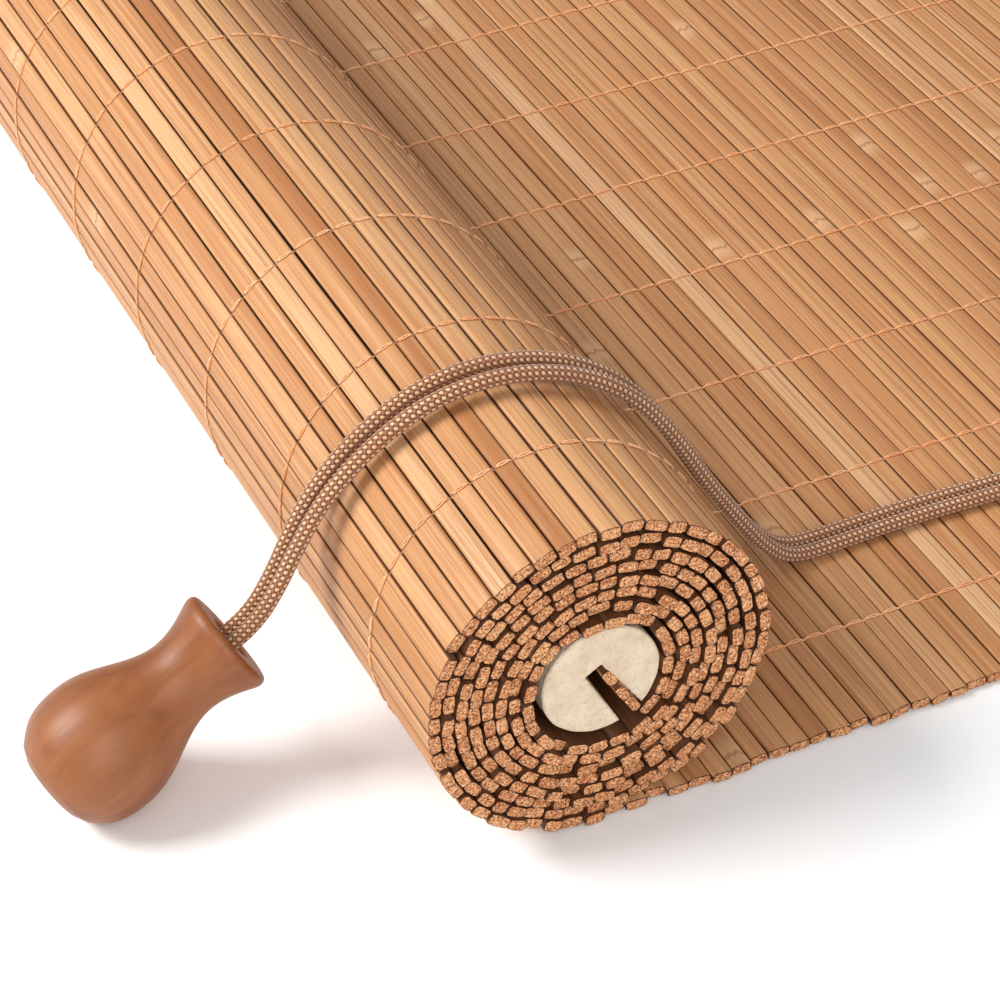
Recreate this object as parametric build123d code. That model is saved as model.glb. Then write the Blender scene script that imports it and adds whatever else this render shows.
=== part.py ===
from build123d import *
import math
import os

# Slatted bamboo roll-up blind, partly rolled up from its lower end and lying on a flat surface.
# X runs along the roll, +Y from the roll to the headrail, +Z is up, all in mm.
# The origin is under the middle of the blind's own box, cords not counted, on the surface.

# ---- driving dimensions -------------------------------------------------------------------------
MAT_WIDTH = 590.0
SLAT_THICK = 1.9
SLAT_EDGE_R = 0.6
SLAT_GAP = 0.22
SLAT_PITCHES = (3.8, 4.3, 3.6, 4.0, 4.4, 3.7, 3.9, 3.4, 4.2, 3.9)

THREAD_BED = 0.25             # the slats lie this far above the surface, on their threads
THREAD_THICK = 0.12
THREAD_WIDTH = 1.3
FIRST_THREADS = (23.0, 62.0)
THREAD_STEPS = 13

ROLL_RADIUS = 31.5           # to the outer face of the outermost slats, at the bottom
TURNS = 7.914
LAYER_PITCH = 2.365
CORE_RADIUS = 10.6
SLOT_WIDTH = 4.4
SLOT_DEPTH = 13.3
SLOT_ANGLE = -59.2           # degrees from +Y

FOLD_DISTANCE = 208.0        # from the roll's axis to the gap that folds, before rounding to a gap
MAT_END_DISTANCE = 256.0

BATTEN_DEPTH = 24.0
BATTEN_HEIGHT = 15.0
BATTEN_EDGE_R = 1.5

PLATE_SPACING = 480.0
PLATE_WIDTH = 16.0
PLATE_THICK = 1.5
PLATE_OVERLAP = 20.0
PLATE_REACH = 20.0
PLATE_HOLE_R = 2.5

CORD_D = 2.7
CORD_GAP = 0.3
LOCK_INSET = 48.4            # lock wheel's axis from the right end of the blind
RIGHT_PULLEY_INSET = 100.0
LEFT_PULLEY_INSET = 490.0

COIL_INSET = 61.5
COIL_DISTANCE = 157.0
COIL_MEAN_R = 19.0
COIL_BAND = 16.5
COIL_HEIGHT = 20.5

PULL_LENGTH = 39.0
PULL_TILT = 29.0             # degrees above the surface
PULL_TURN = 2.2              # degrees from +Y towards -X
PULL_BASE = (-41.6, -82.4, 7.1)
BORE_R = 3.2

# ---- values that follow -------------------------------------------------------------------------
PLATE_END = MAT_END_DISTANCE + PLATE_REACH
ROLL_Y = -(PLATE_END - ROLL_RADIUS) / 2
RIGHT_X = MAT_WIDTH / 2
ROLL_Z = THREAD_BED + ROLL_RADIUS
MID_RADIUS = ROLL_RADIUS - SLAT_THICK / 2
SLAT_TOP = THREAD_BED + SLAT_THICK
MAT_TOP = SLAT_TOP + 0.02 + THREAD_THICK
SLOT_DIR = (math.cos(math.radians(SLOT_ANGLE)), math.sin(math.radians(SLOT_ANGLE)))
SLOT_SIDE = (-SLOT_DIR[1], SLOT_DIR[0])
CORD_R = CORD_D / 2


def at(inset, distance, height):
    """A place given by its distance from the right end, from the roll's axis, and its height."""
    return (RIGHT_X + inset, ROLL_Y + distance, height)


def save(name, shapes):
    """Write one node: a single solid, or a group of separate solids."""
    shape = shapes[0] if len(shapes) == 1 else Compound(children=list(shapes))
    export_step(shape, f"parts/{name}.step")


# ---- slats --------------------------------------------------------------------------------------
slat_cache = {}


def slat(pitch):
    """A flat slat with rounded long edges, centred on the origin and lying along X."""
    if pitch not in slat_cache:
        bar = Box(MAT_WIDTH, pitch - SLAT_GAP, SLAT_THICK)
        slat_cache[pitch] = fillet(bar.edges().filter_by(Axis.X), SLAT_EDGE_R).solid()
    return slat_cache[pitch]


def place_slat(pitch, distance, height, turn):
    """A slat moved to its place, turned clockwise by turn degrees as seen from the right end."""
    spot = Location(at(-RIGHT_X, distance, height), (-turn, 0, 0))
    return slat(pitch).moved(spot)


def pitch_of(number):
    return SLAT_PITCHES[number % len(SLAT_PITCHES)]


def flat_slats():
    """Slats of the flat part, from the roll to the headrail, with the distance of each gap."""
    bars = []
    gaps = []
    distance = 0.0
    number = 0
    while distance < MAT_END_DISTANCE - 2:
        pitch = pitch_of(number)
        bars.append(place_slat(pitch, distance + pitch / 2, THREAD_BED + SLAT_THICK / 2, 0))
        distance += pitch
        gaps.append(distance)
        number += 1
    return bars, gaps


def spiral_radius(turns):
    return MID_RADIUS - LAYER_PITCH * turns


def rolled_slats():
    """Slats of the roll, grouped by turn: the mat goes under, up the far side and inwards."""
    wraps = [[] for _ in range(math.ceil(TURNS))]
    number = -1
    travelled = pitch_of(number) / 2
    turns = travelled / (2 * math.pi * MID_RADIUS)
    while turns < TURNS - 0.03:
        radius = spiral_radius(turns)
        angle = 2 * math.pi * turns
        pitch = pitch_of(number)
        bar = place_slat(pitch, -radius * math.sin(angle), ROLL_Z - radius * math.cos(angle),
                         math.degrees(angle))
        wraps[int(turns)].append(bar)
        step = (pitch + pitch_of(number - 1)) / 2
        turns += step / (2 * math.pi * radius)
        number -= 1
    return wraps


def grip_slats():
    """The last three slats of the mat, pushed into the core's slot along its upper side."""
    bars = []
    side = SLOT_WIDTH / 2 - SLAT_THICK / 2 - 0.1
    for along in (8.6, 4.9, 1.2):
        distance = SLOT_DIR[0] * along + SLOT_SIDE[0] * side
        height = ROLL_Z + SLOT_DIR[1] * along + SLOT_SIDE[1] * side
        bars.append(place_slat(3.7, distance, height, -SLOT_ANGLE))
    return bars


def core_rod():
    """Fibreboard rod with one slot, which holds the end of the mat."""
    rod = Cylinder(CORE_RADIUS, MAT_WIDTH - 4, rotation=(0, 90, 0))
    cut_length = SLOT_DEPTH + 5
    middle = CORE_RADIUS - SLOT_DEPTH + cut_length / 2
    cut = Box(MAT_WIDTH, cut_length, SLOT_WIDTH)
    cut = cut.moved(Location((0, SLOT_DIR[0] * middle, SLOT_DIR[1] * middle), (SLOT_ANGLE, 0, 0)))
    return (rod - cut).solid().moved(Location((0, ROLL_Y, ROLL_Z)))


# ---- warp threads -------------------------------------------------------------------------------
def thread_insets():
    """Distances of the thread pairs from the right end, the same from both ends."""
    first, second = FIRST_THREADS
    step = (MAT_WIDTH - 2 * second) / THREAD_STEPS
    middle = [second + step * k for k in range(THREAD_STEPS + 1)]
    return [first] + middle + [MAT_WIDTH - first]


def spiral_point(turns, offset):
    radius = spiral_radius(turns) + offset
    angle = 2 * math.pi * turns
    return (-radius * math.sin(angle), ROLL_Z - radius * math.cos(angle))


def spiral_band(inner, outer):
    """A thin band that follows the mat round the roll, between two offsets from the slats' middle."""
    arcs_per_turn = 6
    start = 0.01
    end = TURNS - 0.05
    count = round((end - start) * arcs_per_turn)
    stops = [start + (end - start) * k / count for k in range(count + 1)]
    edges = []
    for offset in (inner, outer):
        for first, last in zip(stops, stops[1:]):
            edges.append(ThreePointArc(spiral_point(first, offset),
                                       spiral_point((first + last) / 2, offset),
                                       spiral_point(last, offset)))
    for stop in (start, end):
        edges.append(Line(spiral_point(stop, inner), spiral_point(stop, outer)))
    outline = Wire(edges)
    face = Plane.YZ * make_face(outline)
    return extrude(face, THREAD_WIDTH / 2, both=True).solid()


def roll_threads():
    """Both faces' threads round the roll, one band for each thread pair and face."""
    half = SLAT_THICK / 2
    clear = 0.13
    bands = [spiral_band(half + clear, half + clear + THREAD_THICK),
             spiral_band(-half - 0.02 - THREAD_THICK, -half - 0.02)]
    return [band.moved(Location(at(-inset, 0, 0))) for inset in thread_insets() for band in bands]


def flat_threads(start, end, bottom):
    """Thread bands along the flat mat, from one distance to another."""
    band = Box(THREAD_WIDTH, end - start, THREAD_THICK)
    height = bottom + THREAD_THICK / 2
    return [band.moved(Location(at(-inset, (start + end) / 2, height))).solid()
            for inset in thread_insets()]


# ---- headrail -----------------------------------------------------------------------------------
BATTEN_FRONT = MAT_END_DISTANCE - BATTEN_DEPTH
BATTEN_BOTTOM = MAT_TOP + 0.05
BATTEN_TOP = BATTEN_BOTTOM + BATTEN_HEIGHT
BRACKET_BASE = 1.2
BRACKET_BACK = BATTEN_FRONT - BRACKET_BASE
CORD_RUN = BRACKET_BACK - CORD_R - 0.35
WHEEL_GROOVE_R = 4.0
WHEEL_RIM_R = 5.5
TURN_R = WHEEL_GROOVE_R + CORD_R + 0.1
WHEEL_CENTRE = CORD_RUN - TURN_R
AXLE_R = 1.2
WHEEL_BORE_R = AXLE_R + 0.05
PULLEY_CORD = 12.4
PULLEY_HEIGHT = 4.2
CHEEK = 0.9
CHEEK_CLEAR = 0.2
BASE_HEIGHT = 13.4
BASE_MIDDLE = 9.3
SCREW_R = 1.2
SCREW_HEAD_R = 2.3
SCREW_LENGTH = 11.0
BRACKET_WING = 9.5


def countersunk_screw(place, rotation):
    """A wood screw whose flat head is level with the place and whose shank runs to local -Z."""
    head_depth = 1.1
    head = Cone(SCREW_R, SCREW_HEAD_R, head_depth, align=(Align.CENTER, Align.CENTER, Align.MAX))
    shank = Cylinder(SCREW_R, SCREW_LENGTH - head_depth - 2,
                     align=(Align.CENTER, Align.CENTER, Align.MAX))
    tip = Cone(0.2, SCREW_R, 2, align=(Align.CENTER, Align.CENTER, Align.MAX))
    body = head + Pos(0, 0, -head_depth) * shank + Pos(0, 0, 2 - SCREW_LENGTH) * tip
    recess = 0.6
    slot = Box(2 * SCREW_HEAD_R, 0.6, 2 * recess) + Box(0.6, 2 * SCREW_HEAD_R, 2 * recess)
    cross = slot & Cylinder(SCREW_HEAD_R * 0.62, 2 * recess)
    return (body - cross).solid().moved(Location(place, rotation))


def bracket_screws():
    """Two screws for each pulley bracket and for the cord lock, driven into the batten's front."""
    screws = []
    for inset in (LOCK_INSET, RIGHT_PULLEY_INSET, LEFT_PULLEY_INSET):
        reach = BRACKET_WING + (3.0 if inset == LOCK_INSET else 0.0)
        for side in (-1, 1):
            place = at(side * reach - inset, BRACKET_BACK + 0.02, BASE_MIDDLE)
            screws.append(countersunk_screw(place, (90, 0, 0)))
    return screws


def plate_places():
    return [-RIGHT_X + side * PLATE_SPACING / 2 for side in (-1, 1)]


def plate_screws():
    """Two screws through each hanging plate into the batten's top."""
    screws = []
    for inset in plate_places():
        for back in (6.0, 15.0):
            place = at(inset, MAT_END_DISTANCE - back, BATTEN_TOP + PLATE_THICK - 0.02)
            screws.append(countersunk_screw(place, (0, 0, 0)))
    return screws


def hanging_plate(inset, screws):
    """A flat steel strap on the batten with a hole beyond it, rounded at the free end."""
    length = PLATE_OVERLAP + PLATE_REACH
    strap = Box(PLATE_WIDTH, length, PLATE_THICK)
    strap = fillet(strap.edges().filter_by(Axis.Z).group_by(Axis.Y)[-1], PLATE_WIDTH / 2 - 0.1)
    strap = fillet(strap.edges().filter_by(Axis.Z).group_by(Axis.Y)[0], 2.0)
    strap = strap.solid().moved(Location(at(inset, PLATE_END - length / 2,
                                            BATTEN_TOP + PLATE_THICK / 2)))
    hole = Cylinder(PLATE_HOLE_R, 3 * PLATE_THICK)
    hole = hole.moved(Location(at(inset, PLATE_END - PLATE_WIDTH / 2, BATTEN_TOP)))
    strap -= hole
    for screw in screws:
        strap -= screw
    return strap.solid()


def batten(screws):
    """The wooden headrail, with rounded long edges and a pilot hole for each screw."""
    bar = Box(MAT_WIDTH, BATTEN_DEPTH, BATTEN_HEIGHT)
    bar = fillet(bar.edges().filter_by(Axis.X), BATTEN_EDGE_R).solid()
    bar = bar.moved(Location(at(-RIGHT_X, MAT_END_DISTANCE - BATTEN_DEPTH / 2,
                                BATTEN_BOTTOM + BATTEN_HEIGHT / 2)))
    for screw in screws:
        bar -= screw
    return bar.solid()


def staples():
    """Staples through the mat's end slats into the batten, crowns on the back of the mat."""
    crown = 10.0
    wire = 0.8
    crown_height = 0.16
    leg_length = 7.0
    insets = thread_insets()
    bits = []
    for before, after in zip(insets, insets[1:]):
        inset = -(before + after) / 2
        x, y, z = at(inset, MAT_END_DISTANCE - 12, THREAD_BED - 0.02 - crown_height / 2)
        bit = Box(crown, wire, crown_height)
        for side in (-1, 1):
            leg = Box(wire / 2, wire / 2, leg_length)
            bit += Pos(side * (crown - wire / 2) / 2, 0, leg_length / 2 - crown_height / 2) * leg
        bits.append(bit.solid().moved(Location((x, y, z))))
    return bits


def base_plate(width):
    """The folded base of a bracket, flat on the batten's front."""
    plate = Box(width, BRACKET_BASE, BASE_HEIGHT)
    plate = fillet(plate.edges().filter_by(Axis.Y), 1.5).solid()
    return plate.moved(Location((0, BRACKET_BACK + BRACKET_BASE / 2, BASE_MIDDLE)))


def pulley_bracket(inset, screws):
    """A folded steel bracket: a base on the batten and two cheeks that carry the axle."""
    nose_r = 3.5
    nose_y = WHEEL_CENTRE - 3.0
    depth = BRACKET_BACK + BRACKET_BASE / 2 - nose_y
    offset = PULLEY_HEIGHT / 2 + CHEEK_CLEAR + CHEEK / 2
    body = base_plate(2 * BRACKET_WING + 6)
    for height in (PULLEY_CORD - offset, PULLEY_CORD + offset):
        plate = Box(2 * nose_r, depth, CHEEK).moved(Location((0, nose_y + depth / 2, height)))
        nose = Cylinder(nose_r, CHEEK).moved(Location((0, nose_y, height)))
        body = body + plate + nose
    body -= Cylinder(AXLE_R, 40.0).moved(Location((0, WHEEL_CENTRE, PULLEY_CORD)))
    body = body.solid().moved(Location((RIGHT_X - inset, ROLL_Y, 0)))
    for screw in screws:
        body -= screw
    return body.solid()


def grooved_wheel(height, grooves):
    """A wheel centred on Z, with one flared groove for each cord."""
    groove_height = height / grooves
    floor_half = 1.3
    mouth_half = 1.6
    points = [(WHEEL_BORE_R, -height / 2), (WHEEL_RIM_R, -height / 2)]
    for k in range(grooves):
        middle = (k + 0.5) * groove_height - height / 2
        points += [(WHEEL_RIM_R, middle - mouth_half), (WHEEL_GROOVE_R, middle - floor_half)]
        points += [(WHEEL_GROOVE_R, middle + floor_half), (WHEEL_RIM_R, middle + mouth_half)]
    points += [(WHEEL_RIM_R, height / 2), (WHEEL_BORE_R, height / 2)]
    profile = Plane.XZ * make_face(Polyline(*points, close=True))
    return revolve(profile, Axis.Z).solid()


def axle(low, high):
    """A riveted pin with a low head at each end."""
    head = 0.5
    pin = Cylinder(AXLE_R, high - low, align=(Align.CENTER, Align.CENTER, Align.MIN))
    cap = Cylinder(AXLE_R + 0.7, head, align=(Align.CENTER, Align.CENTER, Align.MIN))
    cap = chamfer(cap.edges().group_by(Axis.Z)[-1], 0.2)
    foot = Cylinder(AXLE_R + 0.7, head, align=(Align.CENTER, Align.CENTER, Align.MAX))
    body = Pos(0, 0, low) * pin + Pos(0, 0, high) * cap + Pos(0, 0, low) * foot
    return body.solid()


# ---- cord lock ----------------------------------------------------------------------------------
LOCK_LOW = 3.8
LOCK_HIGH = 13.4
LOCK_WHEEL_HEIGHT = LOCK_HIGH - LOCK_LOW - 2 * CHEEK_CLEAR
LOCK_MIDDLE = (LOCK_LOW + LOCK_HIGH) / 2
LOCK_CORDS = (LOCK_MIDDLE - LOCK_WHEEL_HEIGHT / 4, LOCK_MIDDLE + LOCK_WHEEL_HEIGHT / 4)
ROLLER_R = 2.2
ROLLER_PIN_R = 1.0
ROLLER_Y = 214.6
ROLLER_OFFSET = TURN_R - CORD_R - 0.6 - ROLLER_R
ROLLER_TRAVEL = 1.0
ROLLER_DIR = (0.24, math.sqrt(1 - 0.24 ** 2))


def lock_housing(screws):
    """A steel lock body: base, two cheeks with the axle bore and a slanted slot, one side wall."""
    body = base_plate(2 * BRACKET_WING + 12)
    front = 212.2
    depth = BRACKET_BACK - front + BRACKET_BASE / 2
    cheek_width = 17.0
    cheek_x = 0.8
    for height in (LOCK_LOW - CHEEK / 2, LOCK_HIGH + CHEEK / 2):
        cheek = Box(cheek_width, depth, CHEEK)
        body += cheek.moved(Location((cheek_x, front + depth / 2, height)))
    wall_x = cheek_x + cheek_width / 2 - CHEEK / 2
    wall_length = 15.0
    wall = Box(CHEEK, wall_length, LOCK_HIGH - LOCK_LOW + 2 * CHEEK)
    body += wall.moved(Location((wall_x, front + wall_length / 2, LOCK_MIDDLE)))
    body -= Cylinder(AXLE_R, 40.0).moved(Location((0, WHEEL_CENTRE, LOCK_MIDDLE)))
    slot_r = ROLLER_PIN_R + 0.08
    turn = -math.degrees(math.atan2(ROLLER_DIR[0], ROLLER_DIR[1]))
    slot = Box(2 * slot_r, ROLLER_TRAVEL, 40.0)
    slot += Pos(0, -ROLLER_TRAVEL / 2, 0) * Cylinder(slot_r, 40.0)
    slot += Pos(0, ROLLER_TRAVEL / 2, 0) * Cylinder(slot_r, 40.0)
    middle_x = ROLLER_OFFSET + ROLLER_DIR[0] * ROLLER_TRAVEL / 2
    middle_y = ROLLER_Y + ROLLER_DIR[1] * ROLLER_TRAVEL / 2
    body -= slot.moved(Location((middle_x, middle_y, LOCK_MIDDLE), (0, 0, turn)))
    body = body.solid().moved(Location((RIGHT_X - LOCK_INSET, ROLL_Y, 0)))
    for screw in screws:
        body -= screw
    return body.solid()


def lock_roller():
    """A brass roller with fine teeth that wedges the cords, on two small pins."""
    length = LOCK_HIGH - LOCK_LOW - 0.6
    teeth = 16
    body = Cylinder(ROLLER_R, length)
    for k in range(teeth):
        angle = 2 * math.pi * k / teeth
        groove = Cylinder(0.22, length + 1)
        body -= groove.moved(Location((ROLLER_R * math.cos(angle), ROLLER_R * math.sin(angle), 0)))
    body += Cylinder(ROLLER_PIN_R, LOCK_HIGH - LOCK_LOW + 2 * CHEEK - 0.2)
    place = at(ROLLER_OFFSET - LOCK_INSET, ROLLER_Y, LOCK_MIDDLE)
    return body.solid().moved(Location(place))


# ---- cords --------------------------------------------------------------------------------------
radii_report = []


def corner_radii(points):
    """One radius for each corner: 0.45 of the shorter run, divided by tan of half the turn."""
    radii = []
    for before, here, after in zip(points, points[1:], points[2:]):
        first = Vector(*here) - Vector(*before)
        second = Vector(*after) - Vector(*here)
        turn = math.radians(first.get_angle(second))
        radii.append(0.45 * min(first.length, second.length) / math.tan(turn / 2))
    return radii


def tube(name, points, radii=None):
    """A round cord along straight runs joined by tangent arcs."""
    places = [at(*point) for point in points]
    if len(places) == 2:
        path = Line(*places)
    else:
        radii = radii or corner_radii(places)
        path = FilletPolyline(*places, radius=radii)
        radii_report.append((name, [round(r, 1) for r in radii]))
    start = Vector(*places[0])
    along = Vector(*places[1]) - start
    section = Plane(origin=start, z_dir=along) * Circle(CORD_R)
    body = sweep(section, path=path).solid()
    expected = math.pi * CORD_R ** 2 * path.length
    print(f"{name}: length {path.length:.1f} mm, volume / (section x length) "
          f"{body.volume / expected:.4f}")
    return body


# Strand a is the far one and strand b the near one: (inset, distance, height) of each route point.
PULL_AXIS = (-math.sin(math.radians(PULL_TURN)) * math.cos(math.radians(PULL_TILT)),
             math.cos(math.radians(PULL_TURN)) * math.cos(math.radians(PULL_TILT)),
             math.sin(math.radians(PULL_TILT)))
KNOT_DEPTH = 9.0
STRAIGHT_BEYOND = 8.0


def pull_point(along, side):
    """A place along the pull's axis from its base, and to its right side."""
    return (PULL_BASE[0] + PULL_AXIS[0] * along + side,
            PULL_BASE[1] + PULL_AXIS[1] * along,
            PULL_BASE[2] + PULL_AXIS[2] * along)


# The part of each route over the roll and along the mat, for both strands.
TAIL_A = [(-44.6, -36.6, 41.2), (-45.6, -31.6, 52.4), (-46.0, -21.9, 61.6), (-45.8, -8.2, 67.6),
          (-45.0, 6.6, 67.9), (-43.9, 20.1, 62.5), (-42.8, 31.2, 51.4), (-42.0, 39.6, 37.4),
          (-42.6, 47.4, 22.6), (-43.8, 54.6, 11.2), (-45.0, 62.8, 4.8), (-45.4, 73.0, 4.05),
          (-46.0, 86.5, 4.1), (-45.3, 101.0, 4.05), (-44.2, 116.0, 4.1), (-43.9, 127.0, 4.05),
          (-44.2, 138.0, 4.05)]
TAIL_B = [(-41.4, -36.4, 41.6), (-40.6, -31.4, 52.6), (-40.3, -21.6, 61.8), (-40.1, -8.0, 67.7),
          (-39.3, 6.8, 67.8), (-38.2, 20.4, 62.3), (-38.0, 31.5, 51.0), (-38.5, 39.9, 37.0),
          (-39.4, 47.7, 22.4), (-40.6, 55.0, 11.0), (-41.8, 63.4, 4.7), (-42.3, 73.8, 4.05),
          (-42.5, 87.5, 4.1), (-41.4, 102.0, 4.05), (-41.0, 117.0, 4.1), (-40.7, 128.0, 4.05),
          (-40.9, 138.0, 4.05)]
LEAD_A = [(-45.2, 176.0, 4.05), (-44.0, 194.0, 4.6)]
LEAD_B = [(-41.2, 176.0, 4.05), (-42.2, 194.0, 6.6)]
LOCK_MOUTH = 214.0
STRAND_HALF = 1.45


def tail_route(side, tail):
    """From the knot in the pull, straight out of it, over the roll and along the mat to the coil."""
    inside = pull_point(KNOT_DEPTH, side)
    outside = pull_point(PULL_LENGTH + STRAIGHT_BEYOND, side)
    return [inside, outside] + tail


def tail_tube(name, side, tail):
    route = tail_route(side, tail)
    return tube(name, route)


def lift_tube(name, pulley_inset, low, level):
    """A lift cord from its end knot round its pulley, along the batten and round the lock wheel."""
    points = [(-pulley_inset - TURN_R, 213.4, PULLEY_CORD),
              (-pulley_inset - TURN_R, CORD_RUN, PULLEY_CORD),
              (-LOCK_INSET + TURN_R, CORD_RUN, level),
              (-LOCK_INSET + TURN_R, low, level)]
    return tube(name, points, [TURN_R, TURN_R])


def knot(place):
    """An overhand knot's outer shape: a slightly flattened ball."""
    ball = Sphere(2.9)
    ball = fillet((ball & Box(5.0, 6.0, 5.0)).edges(), 0.4).solid()
    return ball.moved(Location(place))


def coil():
    """The stored length of both cords: the outer shape of a round coil, lying on the mat."""
    section = Pos(COIL_MEAN_R, 0) * RectangleRounded(COIL_BAND, COIL_HEIGHT, 6.0)
    ring = revolve(Plane.XZ * section, Axis.Z).solid()
    return ring.moved(Location(at(-COIL_INSET, COIL_DISTANCE, COIL_BOTTOM + COIL_HEIGHT / 2)))


COIL_BOTTOM = 3.3
TIE_WIDTH = 4.0
TIE_THICK = 0.6


def coil_tie():
    """A short band round the coil's turns, on the side away from the headrail."""
    clear = 0.25
    inner = RectangleRounded(COIL_BAND + 2 * clear, COIL_HEIGHT + 2 * clear, 6.0 + clear)
    outer = RectangleRounded(COIL_BAND + 2 * clear + 2 * TIE_THICK,
                             COIL_HEIGHT + 2 * clear + 2 * TIE_THICK, 6.0 + clear + TIE_THICK)
    face = Plane.XZ * (outer - inner)
    band = extrude(face, TIE_WIDTH / 2, both=True).solid()
    return band.moved(Location(at(-COIL_INSET - COIL_MEAN_R, COIL_DISTANCE,
                                  COIL_BOTTOM + COIL_HEIGHT / 2)))


# ---- cord pull ----------------------------------------------------------------------------------
PULL_PROFILE = [(8.6, 1.2), (11.2, 4.6), (12.3, 9.6), (12.0, 14.0), (10.2, 19.2), (8.0, 24.2),
                (7.1, 28.4), (7.7, 32.8), (9.2, 36.8)]


def cord_pull():
    """A turned wooden pull: round body, neck and flared top, bored for both cords and the knot."""
    base_r = 6.2
    top_r = 8.6
    points = [(base_r, 0.0)] + PULL_PROFILE
    side = Spline(*points[1:])
    foot = Line((base_r, 0), (8.6, 1.2))
    rim = ThreePointArc((9.2, 36.8), (9.35, 38.2), (top_r, PULL_LENGTH))
    top = Line((top_r, PULL_LENGTH), (0, PULL_LENGTH))
    bottom = Line((0, 0), (base_r, 0))
    back = Line((0, 0), (0, PULL_LENGTH))
    profile = make_face(Wire([bottom, foot, side, rim, top, back]))
    body = revolve(Plane.XZ * profile, Axis.Z)
    body -= Cylinder(BORE_R, PULL_LENGTH + 2, align=(Align.CENTER, Align.CENTER, Align.MIN))
    pocket_depth = 17.0
    body -= Cylinder(5.0, 2 * pocket_depth)
    mouth = Cone(BORE_R, BORE_R + 0.8, 0.8, align=(Align.CENTER, Align.CENTER, Align.MAX))
    body -= Pos(0, 0, PULL_LENGTH) * mouth
    frame = Plane(origin=at(*PULL_BASE), z_dir=Vector(*PULL_AXIS), x_dir=Vector(1, 0, 0))
    return body.solid().moved(frame.location)


def pull_knot():
    """Both cords' ends tied in one knot, in the pocket in the pull's base."""
    lump = Cylinder(4.0, 6.0)
    lump = fillet(lump.edges(), 1.8).solid()
    frame = Plane(origin=at(*pull_point(KNOT_DEPTH - 3.0, 0)), z_dir=Vector(*PULL_AXIS),
                  x_dir=Vector(1, 0, 0))
    return lump.moved(frame.location)


# ---- build --------------------------------------------------------------------------------------
def main():
    os.makedirs("parts", exist_ok=True)
    bars, gaps = flat_slats()
    fold = min(gaps, key=lambda gap: abs(gap - FOLD_DISTANCE))
    root_count = gaps.index(fold) + 1
    mat_end = gaps[-1]
    print(f"fold at distance {fold:.3f}, y {ROLL_Y + fold:.3f}, mat end {mat_end:.3f}")
    print(f"roll axis y {ROLL_Y:.3f} z {ROLL_Z:.3f}, wheel centre y {ROLL_Y + WHEEL_CENTRE:.3f}")
    save("mat_slats", bars[:root_count])
    save("mat_slats_head", bars[root_count:])
    for number, wrap in enumerate(rolled_slats(), start=1):
        save(f"roll_wrap_{number}", wrap)
    save("core_grip_slats", grip_slats())
    save("core_rod", [core_rod()])

    over = SLAT_TOP + 0.02
    under = 0.0
    save("roll_threads", roll_threads())
    save("threads_over", flat_threads(2.0, fold - 1.0, over))
    save("threads_under", flat_threads(2.0, fold - 0.4, under))
    save("threads_over_head", flat_threads(fold + 1.0, mat_end - 1.0, over))
    save("threads_under_head", flat_threads(fold + 0.4, mat_end - 1.0, under))

    front_screws = bracket_screws()
    top_screws = plate_screws()
    save("bracket_screws", front_screws)
    save("plate_screws", top_screws)
    save("headrail_batten", [batten(front_screws + top_screws)])
    save("mat_staples", staples())
    for side, inset, screws in zip(("left", "right"), plate_places(),
                                   (top_screws[:2], top_screws[2:])):
        save(f"hanging_plate_{side}", [hanging_plate(inset, screws)])

    lock_screws = front_screws[0:2]
    pair_screws = {"right": front_screws[2:4], "left": front_screws[4:6]}
    for side, inset in (("right", RIGHT_PULLEY_INSET), ("left", LEFT_PULLEY_INSET)):
        centre = Location(at(-inset, WHEEL_CENTRE, 0))
        save(f"pulley_bracket_{side}", [pulley_bracket(inset, pair_screws[side])])
        wheel = Pos(0, 0, PULLEY_CORD) * grooved_wheel(PULLEY_HEIGHT, 1)
        save(f"pulley_wheel_{side}", [wheel.solid().moved(centre)])
        reach = PULLEY_HEIGHT / 2 + CHEEK_CLEAR + CHEEK
        save(f"pulley_axle_{side}", [axle(PULLEY_CORD - reach, PULLEY_CORD + reach).moved(centre)])
    lock_centre = Location(at(-LOCK_INSET, WHEEL_CENTRE, 0))
    save("lock_housing", [lock_housing(lock_screws)])
    wheel = Pos(0, 0, LOCK_MIDDLE) * grooved_wheel(LOCK_WHEEL_HEIGHT, 2)
    save("lock_wheel", [wheel.solid().moved(lock_centre)])
    save("lock_axle", [axle(LOCK_LOW - CHEEK, LOCK_HIGH + CHEEK).moved(lock_centre)])
    save("lock_roller", [lock_roller()])

    save("cord_pull", [cord_pull()])
    save("pull_knot", [pull_knot()])
    save("cord_tail_a", [tail_tube("cord_tail_a", -STRAND_HALF, TAIL_A)])
    save("cord_tail_b", [tail_tube("cord_tail_b", STRAND_HALF, TAIL_B)])
    save("cord_coil", [coil()])
    save("coil_tie", [coil_tie()])
    save("cord_lead_a", [tube("cord_lead_a", LEAD_A)])
    save("cord_lead_b", [tube("cord_lead_b", LEAD_B)])
    exit_inset = -LOCK_INSET + TURN_R
    mouth = LOCK_MOUTH - CORD_GAP
    save("cord_fold_a", [tube("cord_fold_a", [LEAD_A[-1], (exit_inset, mouth, LOCK_CORDS[0])])])
    save("cord_fold_b", [tube("cord_fold_b", [LEAD_B[-1], (exit_inset, mouth, LOCK_CORDS[1])])])
    save("cord_lift_left", [lift_tube("cord_lift_left", LEFT_PULLEY_INSET, LOCK_MOUTH,
                                      LOCK_CORDS[0])])
    save("cord_lift_right", [lift_tube("cord_lift_right", RIGHT_PULLEY_INSET, LOCK_MOUTH,
                                       LOCK_CORDS[1])])
    for side, inset in (("left", LEFT_PULLEY_INSET), ("right", RIGHT_PULLEY_INSET)):
        save(f"lift_knot_{side}", [knot(at(-inset - TURN_R, 210.6, PULLEY_CORD))])
    for name, radii in radii_report:
        print(f"{name}: radii {radii}")


main()
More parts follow.
